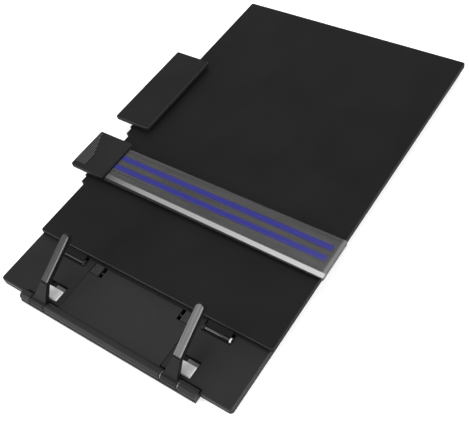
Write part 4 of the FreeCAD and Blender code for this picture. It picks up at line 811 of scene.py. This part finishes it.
def make_floor():
    bpy.ops.object.select_all(action="DESELECT")
    bpy.ops.mesh.primitive_plane_add(size=FLOOR_SIZE, location=(0.0, 0.0, 0.0))
    floor = bpy.context.object
    floor.name = "floor"
    material, tree, shader, place = new_finish("pale_floor")
    drift = noise(tree, place, FLOOR_BLOTCHES)
    shown = shown_rays(tree)
    darkest, palest = [grey(level) for level in FLOOR_SHADES]
    seen = between(tree, drift, darkest, palest)
    colour = paint_over(tree, shown, (*grey(FLOOR_BOUNCE), 1.0), seen)
    tree.links.new(colour, shader.inputs["Base Color"])
    shader.inputs["Roughness"].default_value = FLOOR_SHEEN
    shader.inputs["Specular IOR Level"].default_value = FLOOR_GLOSS
    shader.inputs["Emission Color"].default_value = (1.0, 1.0, 1.0, 1.0)
    glow = add_node(tree, "ShaderNodeMapRange", {"To Min": 0.0, "To Max": FLOOR_GLOW})
    tree.links.new(shown, glow.inputs["Value"])
    tree.links.new(glow.outputs["Result"], shader.inputs["Emission Strength"])
    floor.data.materials.append(material)
    return floor


floor = make_floor()
print("floor:", floor.name)

# %% [markdown]
# ## Lamps and surround
# Where the surround shows, it is plain white. The soft light that it sends to the stand comes as in
# a light tent, bright from near the table and darker from above, so flat black tops stay dark while
# upright faces get more. Three soft lamps add to it. The top lamp lights the guide's bevel, the
# front lamp the fingers and the rolled edge, and the low lamp on the right draws the bright line
# along every edge on that side.

# %% Lamps and surround
SHOWN_STRENGTH = 1.0
TENT_BRIGHT = 1.35
TENT_DARK = 0.22
TENT_EDGE = (0.42, 0.66)


def soft_lamp(name, place, aim, size, watts):
    light = bpy.data.lights.new(name, "AREA")
    light.shape = "SQUARE"
    light.size = size
    light.energy = watts
    lamp = bpy.data.objects.new(name, light)
    bpy.context.scene.collection.objects.link(lamp)
    lamp.location = place
    lamp.rotation_euler = (Vector(aim) - Vector(place)).to_track_quat("-Z", "Y").to_euler()


def surround():
    """Plain white where it shows, but its light is bright at the horizon and darker overhead."""
    world = bpy.data.worlds.new("surround")
    world.use_nodes = True
    tree = world.node_tree
    background = tree.nodes["Background"]
    background.inputs["Color"].default_value = (1.0, 1.0, 1.0, 1.0)
    place = add_node(tree, "ShaderNodeTexCoord")
    split = add_node(tree, "ShaderNodeSeparateXYZ")
    tree.links.new(place.outputs["Generated"], split.inputs["Vector"])
    tent = add_node(tree, "ShaderNodeMapRange",
                    {"From Min": TENT_EDGE[0], "From Max": TENT_EDGE[1],
                     "To Min": TENT_BRIGHT, "To Max": TENT_DARK})
    tree.links.new(split.outputs["Z"], tent.inputs["Value"])
    level = add_node(tree, "ShaderNodeMapRange", {"To Max": SHOWN_STRENGTH})
    tree.links.new(shown_rays(tree), level.inputs["Value"])
    tree.links.new(tent.outputs["Result"], level.inputs["To Min"])
    tree.links.new(level.outputs["Result"], background.inputs["Strength"])
    bpy.context.scene.world = world


surround()
MIDDLE = (0.0, 0.0, 0.0)
soft_lamp("top_lamp", place=(-0.10, 0.20, 1.25), aim=MIDDLE, size=0.5, watts=3.5)
soft_lamp("front_lamp", place=(-0.585, -1.05, 0.52), aim=MIDDLE, size=0.7, watts=7.0)
soft_lamp("right_lamp", place=(1.30, -0.10, 0.35), aim=MIDDLE, size=0.5, watts=8.0)
